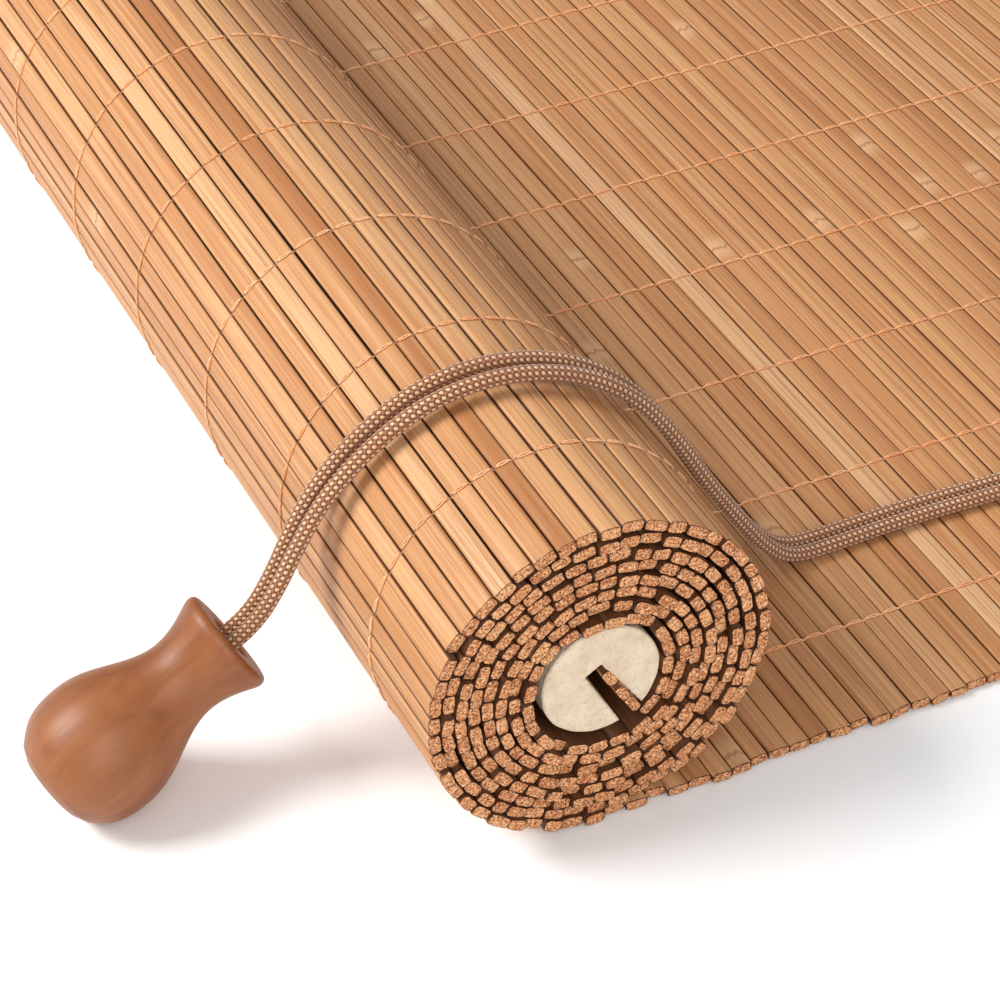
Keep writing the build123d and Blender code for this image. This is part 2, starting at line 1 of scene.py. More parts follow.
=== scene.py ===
import math

import bpy
import numpy as np
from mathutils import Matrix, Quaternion, Vector


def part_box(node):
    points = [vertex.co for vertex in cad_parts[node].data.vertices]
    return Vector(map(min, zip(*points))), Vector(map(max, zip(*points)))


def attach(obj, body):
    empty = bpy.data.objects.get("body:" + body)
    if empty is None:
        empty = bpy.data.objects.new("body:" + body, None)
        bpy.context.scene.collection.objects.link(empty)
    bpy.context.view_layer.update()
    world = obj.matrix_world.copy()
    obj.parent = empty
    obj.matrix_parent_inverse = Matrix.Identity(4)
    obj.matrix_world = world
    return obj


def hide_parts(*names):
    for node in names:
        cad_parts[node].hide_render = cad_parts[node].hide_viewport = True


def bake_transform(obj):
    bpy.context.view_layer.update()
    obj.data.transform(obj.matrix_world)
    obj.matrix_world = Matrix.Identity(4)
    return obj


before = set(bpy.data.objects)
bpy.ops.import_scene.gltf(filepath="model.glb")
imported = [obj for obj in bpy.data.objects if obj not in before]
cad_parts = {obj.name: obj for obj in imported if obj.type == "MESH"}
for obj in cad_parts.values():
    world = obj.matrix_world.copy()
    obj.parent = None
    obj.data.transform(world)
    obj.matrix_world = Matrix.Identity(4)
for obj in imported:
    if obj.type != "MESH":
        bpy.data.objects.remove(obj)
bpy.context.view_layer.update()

# Slatted bamboo roll-up blind, partly rolled up, on a pale surface. All in metres in the CAD frame:
# X along the roll, +Y from the roll to the headrail. MM turns the part's millimetres into metres.
MM = 0.001
random = np.random.default_rng(11)

# ---- the part's layout, repeated ----------------------------------------------------------------
core_low, core_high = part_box("core_rod")
mat_low, mat_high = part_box("mat_slats")
RIGHT_X = mat_high.x
LEFT_X = mat_low.x
WIDTH = RIGHT_X - LEFT_X
ROLL_Y = (core_low.y + core_high.y) / 2
ROLL_Z = (core_low.z + core_high.z) / 2
SLAT_THICK = mat_high.z - mat_low.z
SLAT_MIDDLE = (mat_low.z + mat_high.z) / 2
PITCHES = [MM * p for p in (3.8, 4.3, 3.6, 4.0, 4.4, 3.7, 3.9, 3.4, 4.2, 3.9)]
MAT_END = 256.0 * MM
FOLD = mat_high.y - ROLL_Y
MID_RADIUS = 30.55 * MM
TURNS = 7.914
LAYER_PITCH = 2.365 * MM
SLOT_ANGLE = math.radians(-59.2)
GRIP_SIDE = 1.15 * MM
FIRST_THREADS = (23.0 * MM, 62.0 * MM)
THREAD_STEPS = 13
CORD_D = 2.7 * MM
CORD_R = CORD_D / 2


def at(inset, distance, height):
    """A place from millimetres: from the right end, from the roll's axis, and above the surface."""
    return np.array([RIGHT_X + inset * MM, ROLL_Y + distance * MM, height * MM])


def pitch_of(number):
    return PITCHES[number % len(PITCHES)]


def flat_layout():
    """(pitch, y, z, turn) of each flat slat, from under the roll to the headrail."""
    rows = []
    distance = 0.0
    number = 0
    while distance < MAT_END - 2 * MM:
        pitch = pitch_of(number)
        rows.append((pitch, ROLL_Y + distance + pitch / 2, SLAT_MIDDLE, 0.0))
        distance += pitch
        number += 1
    return rows


def rolled_layout():
    """The same for the slats of the roll, grouped by turn."""
    wraps = [[] for _ in range(math.ceil(TURNS))]
    number = -1
    turns = pitch_of(number) / 2 / (2 * math.pi * MID_RADIUS)
    while turns < TURNS - 0.03:
        radius = MID_RADIUS - LAYER_PITCH * turns
        angle = 2 * math.pi * turns
        pitch = pitch_of(number)
        place = (ROLL_Y - radius * math.sin(angle), ROLL_Z - radius * math.cos(angle))
        wraps[int(turns)].append((pitch, *place, angle))
        turns += (pitch + pitch_of(number - 1)) / 2 / (2 * math.pi * radius)
        number -= 1
    return wraps


def grip_layout():
    """The last three slats, in the core's slot."""
    rows = []
    along_dir = (math.cos(SLOT_ANGLE), math.sin(SLOT_ANGLE))
    for along in (8.6 * MM, 4.9 * MM, 1.2 * MM):
        y = ROLL_Y + along_dir[0] * along - along_dir[1] * GRIP_SIDE
        z = ROLL_Z + along_dir[1] * along + along_dir[0] * GRIP_SIDE
        rows.append((3.7 * MM, y, z, -SLOT_ANGLE))
    return rows


# ---- camera -------------------------------------------------------------------------------------
CAMERA_PLACE = (0.651971, -0.296277, 0.381213)
CAMERA_AIM = (0.209154, -0.101442, 0.00025)
CAMERA_ROLL = math.radians(-2.094)
LENS = 117.71


def make_camera():
    place = Vector(CAMERA_PLACE)
    aim = Vector(CAMERA_AIM)
    data = bpy.data.cameras.new("camera")
    data.sensor_width = 36.0
    data.lens = LENS
    data.clip_end = 20.0
    camera = bpy.data.objects.new("camera", data)
    bpy.context.scene.collection.objects.link(camera)
    level = (aim - place).to_track_quat("-Z", "Y")
    camera.location = place
    camera.rotation_mode = "QUATERNION"
    camera.rotation_quaternion = level @ Quaternion((0, 0, 1), CAMERA_ROLL)
    bpy.context.scene.camera = camera


make_camera()


# ---- mesh building ------------------------------------------------------------------------------
class Parts:
    """Points, quads, vertex values and corner coordinates gathered into one mesh."""

    def __init__(self):
        self.points = []
        self.quads = []
        self.values = {}
        self.corners = []
        self.count = 0

    def add(self, points, quads, corners=None, **values):
        self.points.append(points.reshape(-1, 3))
        self.quads.append(quads + self.count)
        if corners is not None:
            self.corners.append(corners.reshape(-1, 2))
        for name, value in values.items():
            self.values.setdefault(name, []).append(value)
        self.count += len(self.points[-1])

    def piece(self, name, material, slot, body, replaced=()):
        """Make the object, ride it on its body and hide the CAD parts that it replaces."""
        points = np.concatenate(self.points)
        quads = np.concatenate(self.quads)
        mesh = bpy.data.meshes.new(name)
        mesh.vertices.add(len(points))
        mesh.vertices.foreach_set("co", points.astype(np.float32).ravel())
        mesh.loops.add(quads.size)
        mesh.loops.foreach_set("vertex_index", quads.astype(np.int32).ravel())
        mesh.polygons.add(len(quads))
        mesh.polygons.foreach_set("loop_start", np.arange(0, quads.size, 4, dtype=np.int32))
        mesh.update(calc_edges=True)
        for key, chunks in self.values.items():
            value = np.concatenate(chunks).astype(np.float32)
            kind = "FLOAT_VECTOR" if value.ndim == 2 else "FLOAT"
            field = "vector" if value.ndim == 2 else "value"
            mesh.attributes.new(key, kind, "POINT").data.foreach_set(field, value.ravel())
        if self.corners:
            layer = mesh.uv_layers.new(name="lay")
            layer.data.foreach_set("uv", np.concatenate(self.corners).astype(np.float32).ravel())
        mesh.validate()
        mesh.polygons.foreach_set("use_smooth", np.ones(len(mesh.polygons), bool))
        mesh.materials.append(material)
        piece = bpy.data.objects.new(name, mesh)
        bpy.context.scene.collection.objects.link(piece)
        if body:
            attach(piece, body)
        if replaced:
            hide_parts(*replaced)
        return piece


def lengths(line):
    """Length along the line at each of its points."""
    return np.concatenate([[0.0], np.cumsum(np.linalg.norm(np.diff(line, axis=0), axis=1))])


def ring_quads(rows, ring):
    """Quads of a closed tube of rows of ring points."""
    row, k = np.meshgrid(np.arange(rows - 1), np.arange(ring), indexing="ij")
    after = (k + 1) % ring
    quads = np.stack([row * ring + k, row * ring + after,
                      (row + 1) * ring + after, (row + 1) * ring + k], axis=-1)
    return quads.reshape(-1, 4)


def cap_quads(first, ring, flip):
    """Quads across a ring whose point k faces point ring - 1 - k."""
    k = np.arange(ring // 2 - 1)
    quads = np.stack([k, k + 1, ring - 2 - k, ring - 1 - k], axis=-1) + first
    return quads[:, ::-1] if flip else quads


def frames(line):
    """Tangent and two normals at each point, carried along the line without twist."""
    tangent = np.gradient(line, axis=0)
    tangent /= np.linalg.norm(tangent, axis=1)[:, None]
    start = np.array([1.0, 0.0, 0.0])
    if abs(tangent[0] @ start) > 0.8:
        start = np.array([0.0, 0.0, 1.0])
    normals = np.zeros_like(line)
    normal = start - (start @ tangent[0]) * tangent[0]
    for k, along in enumerate(tangent):
        normal = normal - (normal @ along) * along
        normal /= np.linalg.norm(normal)
        normals[k] = normal
    return tangent, normals, np.cross(tangent, normals)


def add_tube(parts, line, radius, ring, normals=None, flat=1.0):
    """A tube along the line. radius is one number or one for each row and ring point."""
    rows = len(line)
    if normals is None:
        _, first, second = frames(line)
    else:
        first, second = normals
    angles = (np.arange(ring) + 0.5) * 2 * math.pi / ring
    radius = np.broadcast_to(radius, (rows, ring))[..., None]
    across = np.cos(angles)[None, :, None] * first[:, None, :]
    upward = np.sin(angles)[None, :, None] * second[:, None, :] * flat
    points = line[:, None, :] + radius * (across + upward)
    quads = ring_quads(rows, ring)
    along = lengths(line)
    row, k = np.meshgrid(np.arange(rows - 1), np.arange(ring), indexing="ij")
    turn = (k + 0.5) / ring
    turn_after = (k + 1.5) / ring
    corners = np.stack([along[row], turn, along[row], turn_after,
                        along[row + 1], turn_after, along[row + 1], turn], axis=-1)
    caps = np.concatenate([cap_quads(0, ring, True), cap_quads((rows - 1) * ring, ring, False)])
    cap_corners = np.zeros((len(caps) * 4, 2))
    parts.add(points, np.concatenate([quads, caps]),
              np.concatenate([corners.reshape(-1, 2), cap_corners]))


# ---- materials ----------------------------------------------------------------------------------
def paint(red, green, blue):
    """Linear colour from a display colour of 0 to 255."""
    def linear(value):
        value /= 255
        return value / 12.92 if value <= 0.04045 else ((value + 0.055) / 1.055) ** 2.4
    return (linear(red), linear(green), linear(blue), 1.0)


class Graph:
    """A material with one Principled shader, and short calls for the nodes that feed it."""

    def __init__(self, name):
        self.material = bpy.data.materials.new(name)
        self.material.use_nodes = True
        self.tree = self.material.node_tree
        self.tree.nodes.clear()
        self.shader = self.tree.nodes.new("ShaderNodeBsdfPrincipled")
        output = self.tree.nodes.new("ShaderNodeOutputMaterial")
        self.tree.links.new(self.shader.outputs[0], output.inputs["Surface"])

    def node(self, kind, inputs, **settings):
        made = self.tree.nodes.new(kind)
        for key, value in settings.items():
            setattr(made, key, value)
        for key, value in inputs.items():
            self.feed(made.inputs[key], value)
        return made

    def feed(self, socket, value):
        if isinstance(value, bpy.types.NodeSocket):
            self.tree.links.new(value, socket)
        else:
            socket.default_value = value

    def shade(self, **inputs):
        for key, value in inputs.items():
            self.feed(self.shader.inputs[key.replace("_", " ")], value)

    def attribute(self, name, output="Fac"):
        return self.node("ShaderNodeAttribute", {}, attribute_name=name).outputs[output]

    def place(self):
        return self.node("ShaderNodeTexCoord", {}).outputs["Object"]

    def scaled(self, vector, scale):
        mapping = self.node("ShaderNodeMapping", {"Vector": vector, "Scale": scale})
        return mapping.outputs[0]

    def noise(self, vector, detail, roughness=0.55, distortion=0.0):
        inputs = {"Vector": vector, "Scale": 1.0, "Detail": detail, "Roughness": roughness,
                  "Distortion": distortion}
        return self.node("ShaderNodeTexNoise", inputs).outputs["Fac"]

    def cells(self, vector):
        inputs = {"Vector": vector, "Scale": 1.0}
        return self.node("ShaderNodeTexVoronoi", inputs).outputs["Distance"]

    def calc(self, operation, first, second=0.0):
        made = self.node("ShaderNodeMath", {0: first, 1: second}, operation=operation)
        return made.outputs[0]

    def remap(self, value, low, high, out_low=0.0, out_high=1.0):
        inputs = {"Value": value, "From Min": low, "From Max": high, "To Min": out_low,
                  "To Max": out_high}
        made = self.node("ShaderNodeMapRange", inputs, interpolation_type="SMOOTHSTEP")
        return made.outputs["Result"]

    def blend(self, factor, first, second):
        made = self.node("ShaderNodeMix", {0: factor, 6: first, 7: second}, data_type="RGBA")
        return made.outputs[2]

    def ramp(self, value, stops):
        made = self.node("ShaderNodeValToRGB", {"Fac": value})
        elements = made.color_ramp.elements
        while len(elements) < len(stops):
            elements.new(0.5)
        for element, (position, colour) in zip(elements, stops):
            element.position = position
            element.color = colour
        return made.outputs["Color"]

    def bump(self, height, distance, strength, normal=None):
        inputs = {"Height": height, "Distance": distance, "Strength": strength}
        if normal is not None:
            inputs["Normal"] = normal
        return self.node("ShaderNodeBump", inputs).outputs["Normal"]

    def axes(self, vector):
        split = self.node("ShaderNodeSeparateXYZ", {"Vector": vector})
        return split.outputs


def bamboo_grain(g, grain, tone, fine, streak):
    """The long faces: slat to slat tones, broad patches and lengthwise grain."""
    patch = g.noise(g.scaled(grain, (14, 120, 120)), detail=3)
    base = g.ramp(tone, [(0.0, paint(166, 109, 65)), (0.2, paint(184, 129, 82)),
                         (0.5, paint(197, 144, 96)), (0.8, paint(204, 154, 107)),
                         (1.0, paint(213, 169, 124))])
    base = g.blend(g.remap(patch, 0.42, 0.75, 0.0, 0.45), base, paint(178, 117, 71))
    base = g.blend(g.remap(streak, 0.47, 0.66, 0.0, 0.6), base, paint(164, 103, 60))
    base = g.blend(g.remap(streak, 0.46, 0.30, 0.0, 0.5), base, paint(219, 177, 132))
    return g.blend(g.remap(fine, 0.52, 0.74, 0.0, 0.6), base, paint(132, 78, 44))


def cane_nodes(g, grain, tone, base):
    """Nodes of the cane on some slats: a pale swelling with a thin dark line across it."""
    spacing = 0.31
    wave = g.noise(g.scaled(grain, (30, 700, 700)), detail=1)
    chance = g.calc("FRACT", g.calc("MULTIPLY", tone, 57.3))
    phase = g.calc("ADD", g.calc("DIVIDE", g.axes(grain)["X"], spacing),
                   g.calc("MULTIPLY", tone, 13.7))
    phase = g.calc("ADD", phase, g.calc("MULTIPLY", wave, 0.012))
    off = g.calc("ABSOLUTE", g.calc("SUBTRACT", g.calc("FRACT", phase), 0.5))
    away = g.calc("MULTIPLY", off, spacing)
    some = g.remap(chance, 0.42, 0.38)
    pale = g.calc("MULTIPLY", g.remap(away, 0.006, 0.0008, 0.0, 0.5), some)
    line = g.calc("MULTIPLY", g.remap(away, 0.0008, 0.0001, 0.0, 0.5), some)
    base = g.blend(pale, base, paint(222, 180, 136))
    return g.blend(line, base, paint(134, 82, 48))


def cut_end(g, tone, edge, pores, speck):
    """A slat's sawn end: porous, speckled and darker round its rim, as painted shade in the gaps
    between the ends.
    """
    end = g.ramp(tone, [(0.0, paint(186, 112, 66)), (1.0, paint(222, 156, 104))])
    end = g.blend(g.remap(speck, 0.50, 0.62, 0.0, 0.8), end, paint(248, 200, 152))
    end = g.blend(g.remap(speck, 0.48, 0.36, 0.0, 0.8), end, paint(128, 64, 30))
    end = g.blend(g.remap(pores, 0.34, 0.14, 0.0, 0.9), end, paint(80, 36, 16))
    # Painted shade: near-black round the end's rim.
    return g.blend(g.remap(edge, 0.25, 0.9, 0.0, 0.9), end, paint(70, 32, 14))


def bamboo_material():
    """Split bamboo, with painted shade along the slats' long edges, where they meet, and on faces
    hidden inside the roll.
    """
    g = Graph("bamboo")
    grain = g.attribute("grain", "Vector")
    tone = g.attribute("tone")
    cut = g.attribute("cut")
    edge = g.attribute("edge")
    fine = g.noise(g.scaled(grain, (38, 4200, 4200)), detail=4, roughness=0.65)
    streak = g.noise(g.scaled(grain, (11, 1500, 1500)), detail=4, roughness=0.65, distortion=0.3)
    pores = g.cells(g.scaled(grain, (700, 2300, 2300)))
    speck = g.noise(g.scaled(grain, (1100, 2100, 2100)), detail=3, roughness=0.7)
    base = cane_nodes(g, grain, tone, bamboo_grain(g, grain, tone, fine, streak))
    # Painted shade: near-black brown towards the slats' long edges, where they meet, and over faces
    # hidden inside the roll.
    base = g.blend(g.remap(edge, 0.91, 0.99, 0.0, 0.9), base, paint(72, 35, 16))
    colour = g.blend(cut, base, cut_end(g, tone, edge, pores, speck))
    rough = g.remap(fine, 0.3, 0.75, 0.4, 0.6)
    rough = g.calc("ADD", rough, g.calc("MULTIPLY", cut, 0.35))
    height = g.calc("ADD", fine, g.calc("MULTIPLY", streak, 0.8))
    side = g.bump(height, 0.00008, 0.7)
    pitted = g.calc("MULTIPLY", g.calc("ADD", g.remap(pores, 0.05, 0.4), speck), cut)
    g.shade(Base_Color=colour, Roughness=rough, Normal=g.bump(pitted, 0.0003, 0.9, side))
    g.shade(Specular_IOR_Level=0.35)
    return g.material


BRAID_PITCH = 1.15 * MM
BRAID_STRANDS = 8


def braid_heights(along, turn):
    """Relief of the braid, 0 to 1, from length in metres and turn round the cord."""
    u = along / BRAID_PITCH
    v = turn * BRAID_STRANDS
    p = u + v
    q = u - v
    odd = (np.floor(p) + np.floor(q)) % 2
    side_p = np.sin(math.pi * (p - np.floor(p)))
    side_q = np.sin(math.pi * (q - np.floor(q)))
    across = np.where(odd > 0.5, side_q, side_p)
    length = np.where(odd > 0.5, side_p, side_q)
    return across * (0.45 + 0.55 * length)


def cord_material(name, brown, cream):
    """Round braid of brown yarn with pale yarn in one direction."""
    g = Graph(name)
    lay = g.node("ShaderNodeUVMap", {}, uv_map="lay").outputs["UV"]
    axes = g.axes(lay)
    u = g.calc("DIVIDE", axes["X"], BRAID_PITCH)
    v = g.calc("MULTIPLY", axes["Y"], BRAID_STRANDS)
    p = g.calc("ADD", u, v)
    q = g.calc("SUBTRACT", u, v)
    floor_sum = g.calc("ADD", g.calc("FLOOR", p), g.calc("FLOOR", q))
    odd = g.calc("FLOORED_MODULO", floor_sum, 2.0)
    sine_p = g.calc("SINE", g.calc("MULTIPLY", g.calc("FRACT", p), math.pi))
    sine_q = g.calc("SINE", g.calc("MULTIPLY", g.calc("FRACT", q), math.pi))
    even = g.calc("SUBTRACT", 1.0, odd)
    across = g.calc("ADD", g.calc("MULTIPLY", odd, sine_q), g.calc("MULTIPLY", even, sine_p))
    length = g.calc("ADD", g.calc("MULTIPLY", odd, sine_p), g.calc("MULTIPLY", even, sine_q))
    height = g.calc("MULTIPLY", across, g.remap(length, 0.0, 1.0, 0.45, 1.0))
    fibre = g.noise(g.scaled(g.place(), (5200, 5200, 5200)), detail=3, roughness=0.7)
    wear = g.noise(g.scaled(g.place(), (160, 160, 160)), detail=2)
    yarn = g.blend(odd, brown, cream)
    yarn = g.blend(g.remap(wear, 0.3, 0.8, 0.0, 0.3), yarn, brown)
    yarn = g.blend(g.remap(fibre, 0.4, 0.75, 0.0, 0.35), yarn, paint(112, 68, 44))
    shadow = g.remap(height, 0.15, 0.65, 0.0, 1.0)
    colour = g.blend(shadow, paint(104, 58, 30), yarn)
    total = g.calc("ADD", height, g.calc("MULTIPLY", fibre, 0.3))
    g.shade(Base_Color=colour, Roughness=0.72, Normal=g.bump(total, 0.00022, 0.9))
    g.shade(Specular_IOR_Level=0.3, Sheen_Weight=0.25, Sheen_Roughness=0.5)
    return g.material


def thread_material():
    """Twisted cotton thread, dyed peach, with a little fuzz and painted shade in the twist's
    grooves.
    """
    g = Graph("warp_thread")
    axes = g.axes(g.node("ShaderNodeUVMap", {}, uv_map="lay").outputs["UV"])
    twist = g.calc("ADD", g.calc("DIVIDE", axes["X"], 0.55 * MM), axes["Y"])
    ply = g.calc("SINE", g.calc("MULTIPLY", twist, 2 * math.pi))
    fuzz = g.noise(g.scaled(g.place(), (4200, 4200, 4200)), detail=3, roughness=0.7)
    fade = g.noise(g.scaled(g.place(), (40, 40, 40)), detail=2)
    colour = g.blend(g.remap(fade, 0.3, 0.7), paint(238, 168, 114), paint(246, 192, 142))
    # Painted shade: darker orange in the grooves between the twisted plies.
    colour = g.blend(g.remap(ply, -1.0, 0.1, 0.4, 0.0), colour, paint(228, 146, 90))
    colour = g.blend(g.remap(fuzz, 0.5, 0.8, 0.0, 0.35), colour, paint(252, 222, 182))
    height = g.calc("ADD", g.calc("MULTIPLY", ply, 0.5), fuzz)
    g.shade(Base_Color=colour, Roughness=0.85, Normal=g.bump(height, 0.00008, 0.8))
    g.shade(Specular_IOR_Level=0.2, Sheen_Weight=0.3)
    return g.material


def fibreboard_material():
    """Pale pressed fibre with faint specks and a slightly rough face."""
    g = Graph("fibreboard")
    place = g.place()
    felt = g.noise(g.scaled(place, (900, 900, 900)), detail=5, roughness=0.7)
    cloud = g.noise(g.scaled(place, (220, 220, 220)), detail=3)
    chips = g.cells(g.scaled(place, (1100, 1100, 1100)))
    colour = g.blend(g.remap(cloud, 0.3, 0.7), paint(208, 186, 158), paint(224, 206, 180))
    colour = g.blend(g.remap(felt, 0.5, 0.72, 0.0, 0.5), colour, paint(190, 168, 134))
    colour = g.blend(g.remap(chips, 0.22, 0.08, 0.0, 0.55), colour, paint(156, 128, 96))
    height = g.calc("ADD", felt, g.calc("MULTIPLY", chips, 0.6))
    g.shade(Base_Color=colour, Roughness=0.9, Normal=g.bump(height, 0.0003, 0.7))
    g.shade(Specular_IOR_Level=0.2)
    return g.material


def stained_wood_material():
    """Turned wood under a satin orange-brown lacquer, grain along the pull's axis."""
    g = Graph("stained_wood")
    grain = g.attribute("grain", "Vector")
    figure = g.noise(g.scaled(grain, (260, 260, 34)), detail=4, roughness=0.6, distortion=0.8)
    fine = g.noise(g.scaled(grain, (2600, 2600, 110)), detail=4, roughness=0.7)
    cloud = g.noise(g.scaled(grain, (55, 55, 40)), detail=2)
    colour = g.ramp(figure, [(0.25, paint(117, 65, 31)), (0.5, paint(137, 79, 40)),
                             (0.75, paint(150, 91, 48))])
    colour = g.blend(g.remap(fine, 0.52, 0.75, 0.0, 0.5), colour, paint(104, 56, 30))
    colour = g.blend(g.remap(cloud, 0.35, 0.7, 0.0, 0.3), colour, paint(158, 99, 54))
    rings = g.noise(g.scaled(grain, (20, 20, 1700)), detail=2)
    height = g.calc("ADD", g.calc("MULTIPLY", fine, 0.6), g.calc("MULTIPLY", rings, 0.5))
    rough = g.remap(fine, 0.3, 0.7, 0.42, 0.54)
    g.shade(Base_Color=colour, Roughness=rough, Normal=g.bump(height, 0.00004, 0.5))
    g.shade(Coat_Weight=0.18, Coat_Roughness=0.36, Specular_IOR_Level=0.35)
    return g.material


def batten_material():
    """Planed pale softwood, grain along the batten."""
    g = Graph("batten_wood")
    place = g.place()
    rings = g.noise(g.scaled(place, (3.2, 150, 150)), detail=3, distortion=1.6)
    fine = g.noise(g.scaled(place, (30, 2200, 2200)), detail=4, roughness=0.7)
    colour = g.ramp(rings, [(0.3, paint(196, 150, 98)), (0.48, paint(222, 182, 130)),
                            (0.56, paint(206, 160, 106)), (0.7, paint(228, 190, 140))])
    colour = g.blend(g.remap(fine, 0.5, 0.75, 0.0, 0.5), colour, paint(166, 116, 70))
    g.shade(Base_Color=colour, Roughness=g.remap(fine, 0.3, 0.7, 0.45, 0.62))
    g.shade(Normal=g.bump(fine, 0.00006, 0.6), Specular_IOR_Level=0.35)
    return g.material


def metal_material(name, light, dark, rough, scratch_scale):
    """Rolled or turned metal with fine scratches and dull spots."""
    g = Graph(name)
    place = g.place()
    scratch = g.noise(g.scaled(place, scratch_scale), detail=4, roughness=0.7)
    spots = g.noise(g.scaled(place, (700, 700, 700)), detail=4, roughness=0.6)
    colour = g.blend(g.remap(spots, 0.4, 0.7), light, dark)
    dull = g.calc("ADD", g.remap(scratch, 0.3, 0.7, rough, rough + 0.14),
                  g.remap(spots, 0.5, 0.8, 0.0, 0.12))
    g.shade(Base_Color=colour, Metallic=1.0, Roughness=dull)
    g.shade(Normal=g.bump(scratch, 0.00003, 0.5))
    return g.material


def nylon_material():
    """Moulded off-white nylon with a fine satin texture."""
    g = Graph("nylon")
    place = g.place()
    grainy = g.noise(g.scaled(place, (3000, 3000, 3000)), detail=3)
    dirt = g.noise(g.scaled(place, (260, 260, 260)), detail=4)
    colour = g.blend(g.remap(dirt, 0.45, 0.8, 0.0, 0.6), paint(232, 226, 212), paint(198, 186, 164))
    g.shade(Base_Color=colour, Roughness=g.remap(grainy, 0.3, 0.7, 0.38, 0.52))
    g.shade(Normal=g.bump(grainy, 0.00002, 0.5), Subsurface_Weight=0.05)
    return g.material


def paper_material():
    """Kraft paper with fibres and soft creases."""
    g = Graph("paper_tie")
    place = g.place()
    fibre = g.noise(g.scaled(place, (1500, 500, 1500)), detail=5, roughness=0.7)
    crease = g.noise(g.scaled(place, (300, 300, 300)), detail=3, distortion=0.6)
    colour = g.blend(g.remap(fibre, 0.35, 0.7), paint(196, 158, 112), paint(222, 190, 146))
    height = g.calc("ADD", fibre, g.calc("MULTIPLY", crease, 1.5))
    g.shade(Base_Color=colour, Roughness=0.82, Normal=g.bump(height, 0.0001, 0.7))
    return g.material


BAMBOO = bamboo_material()
CORD = cord_material("braided_cord", paint(160, 102, 66), paint(236, 194, 152))
THREAD = thread_material()
FIBREBOARD = fibreboard_material()
STAINED = stained_wood_material()
BATTEN = batten_material()
ZINC = metal_material("zinc_steel", paint(186, 188, 190), paint(146, 149, 152), 0.3,
                      (60, 1500, 1500))
BRASS = metal_material("brass", paint(204, 170, 98), paint(166, 132, 70), 0.26,
                       (900, 900, 60))
NYLON = nylon_material()
PAPER = paper_material()

# ---- cords --------------------------------------------------------------------------------------
PULL_BASE = (-41.6, -82.4, 7.1)
PULL_LENGTH = 39.0
PULL_TILT = math.radians(29.0)
PULL_TURN = math.radians(2.2)
PULL_AXIS = np.array([-math.sin(PULL_TURN) * math.cos(PULL_TILT),
                      math.cos(PULL_TURN) * math.cos(PULL_TILT),
                      math.sin(PULL_TILT)])
KNOT_DEPTH = 9.0
MOUTH_POINT = 36.2              # along the pull, as far before the bend as the next point is after
STRAIGHT_BEYOND = 5.0           # how far the strands leave the pull straight
KNOT_SIDE = 1.45                # from the pull's axis to each strand inside it
LOCK_MOUTH = 214.0
EXIT_INSET = -42.95
LOCK_CORDS = (6.3, 10.9)
REST_HEIGHT = 3.78              # a cord's middle where it lies on the mat

# The middle of the two strands from the pull to the coil, and half the distance between them.
TAIL = [((-42.8, -39.6, 34.9), 1.6), ((-43.2, -36.0, 41.2), 1.75), ((-43.5, -31.0, 49.0), 1.95),
        ((-43.6, -22.4, 57.3), 2.15), ((-43.1, -10.5, 64.0), 2.2), ((-42.1, 2.5, 65.7), 2.2),
        ((-40.9, 15.2, 62.3), 2.15), ((-39.7, 25.3, 54.8), 2.1), ((-39.7, 32.7, 43.8), 2.0),
        ((-40.4, 39.4, 31.0), 1.9), ((-41.3, 46.2, 19.8), 1.8), ((-42.4, 52.4, 10.4), 1.75),
        ((-43.4, 58.4, 4.5), 1.7), ((-43.9, 68.0, REST_HEIGHT), 1.65),
        ((-44.2, 84.0, REST_HEIGHT), 1.6), ((-43.3, 100.0, REST_HEIGHT), 1.6),
        ((-42.7, 115.0, REST_HEIGHT), 1.55), ((-42.4, 127.0, REST_HEIGHT), 1.6),
        ((-42.4, 135.0, 3.9), 1.6)]
LEADS = ([(-43.6, 186.0, REST_HEIGHT), (-44.0, 196.0, 4.3), (-43.3, 206.0, 5.4)],
         [(-40.4, 186.0, REST_HEIGHT), (-41.2, 196.0, 5.2), (-42.4, 206.0, 8.6)])

COIL_INSET = -61.5
COIL_DISTANCE = 157.0
COIL_INNER = 12.1               # radius of the innermost column of turns
COLUMN_STEP = 2.76
ROW_STEP = 2.54
COIL_LOW = 4.65
COIL_ROWS = 8
STAGGER = 0.3
POINTS_A_TURN = 24
ENTRY_ANGLE = -50.0
JOG_SHARE = 0.2                 # of a turn, spent stepping to the next one
LEAVE_RADIUS = 29.9             # where strand a comes down beside the coil
LEAVE_STEP = 2.95               # and how much further out strand b does


def coil_columns(row, strand):
    """The columns that a strand takes in a row, in the order it takes them."""
    columns = [4, 2, 0] if row % 2 == 0 else [0, 2, 4]
    if row == COIL_ROWS - 1:
        columns = columns[:2]
    return [column + strand for column in columns]


def coil_stops(strand):
    """(radius, height) of each turn of a strand."""
    stops = []
    for row in range(COIL_ROWS):
        side = STAGGER if row % 2 == 0 else -STAGGER
        for column in coil_columns(row, strand):
            stops.append((COIL_INNER + COLUMN_STEP * column + side, COIL_LOW + ROW_STEP * row))
    return stops


def coil_point(radius, angle, height):
    turn = math.radians(angle)
    return (COIL_INSET + radius * math.cos(turn), COIL_DISTANCE + radius * math.sin(turn), height)


def coil_turns(strand):
    """The turns, each level for most of its way and then stepping to the next one."""
    points = []
    stops = coil_stops(strand)
    for number, (radius, height) in enumerate(stops):
        after = stops[min(number + 1, len(stops) - 1)]
        for k in range(POINTS_A_TURN):
            share = k / POINTS_A_TURN
            step = max(0.0, (share - 1 + JOG_SHARE) / JOG_SHARE)
            step = step * step * (3 - 2 * step)
            angle = ENTRY_ANGLE + 360 * share
            points.append(coil_point(radius + (after[0] - radius) * step, angle,
                                     height + (after[1] - height) * step))
    return points


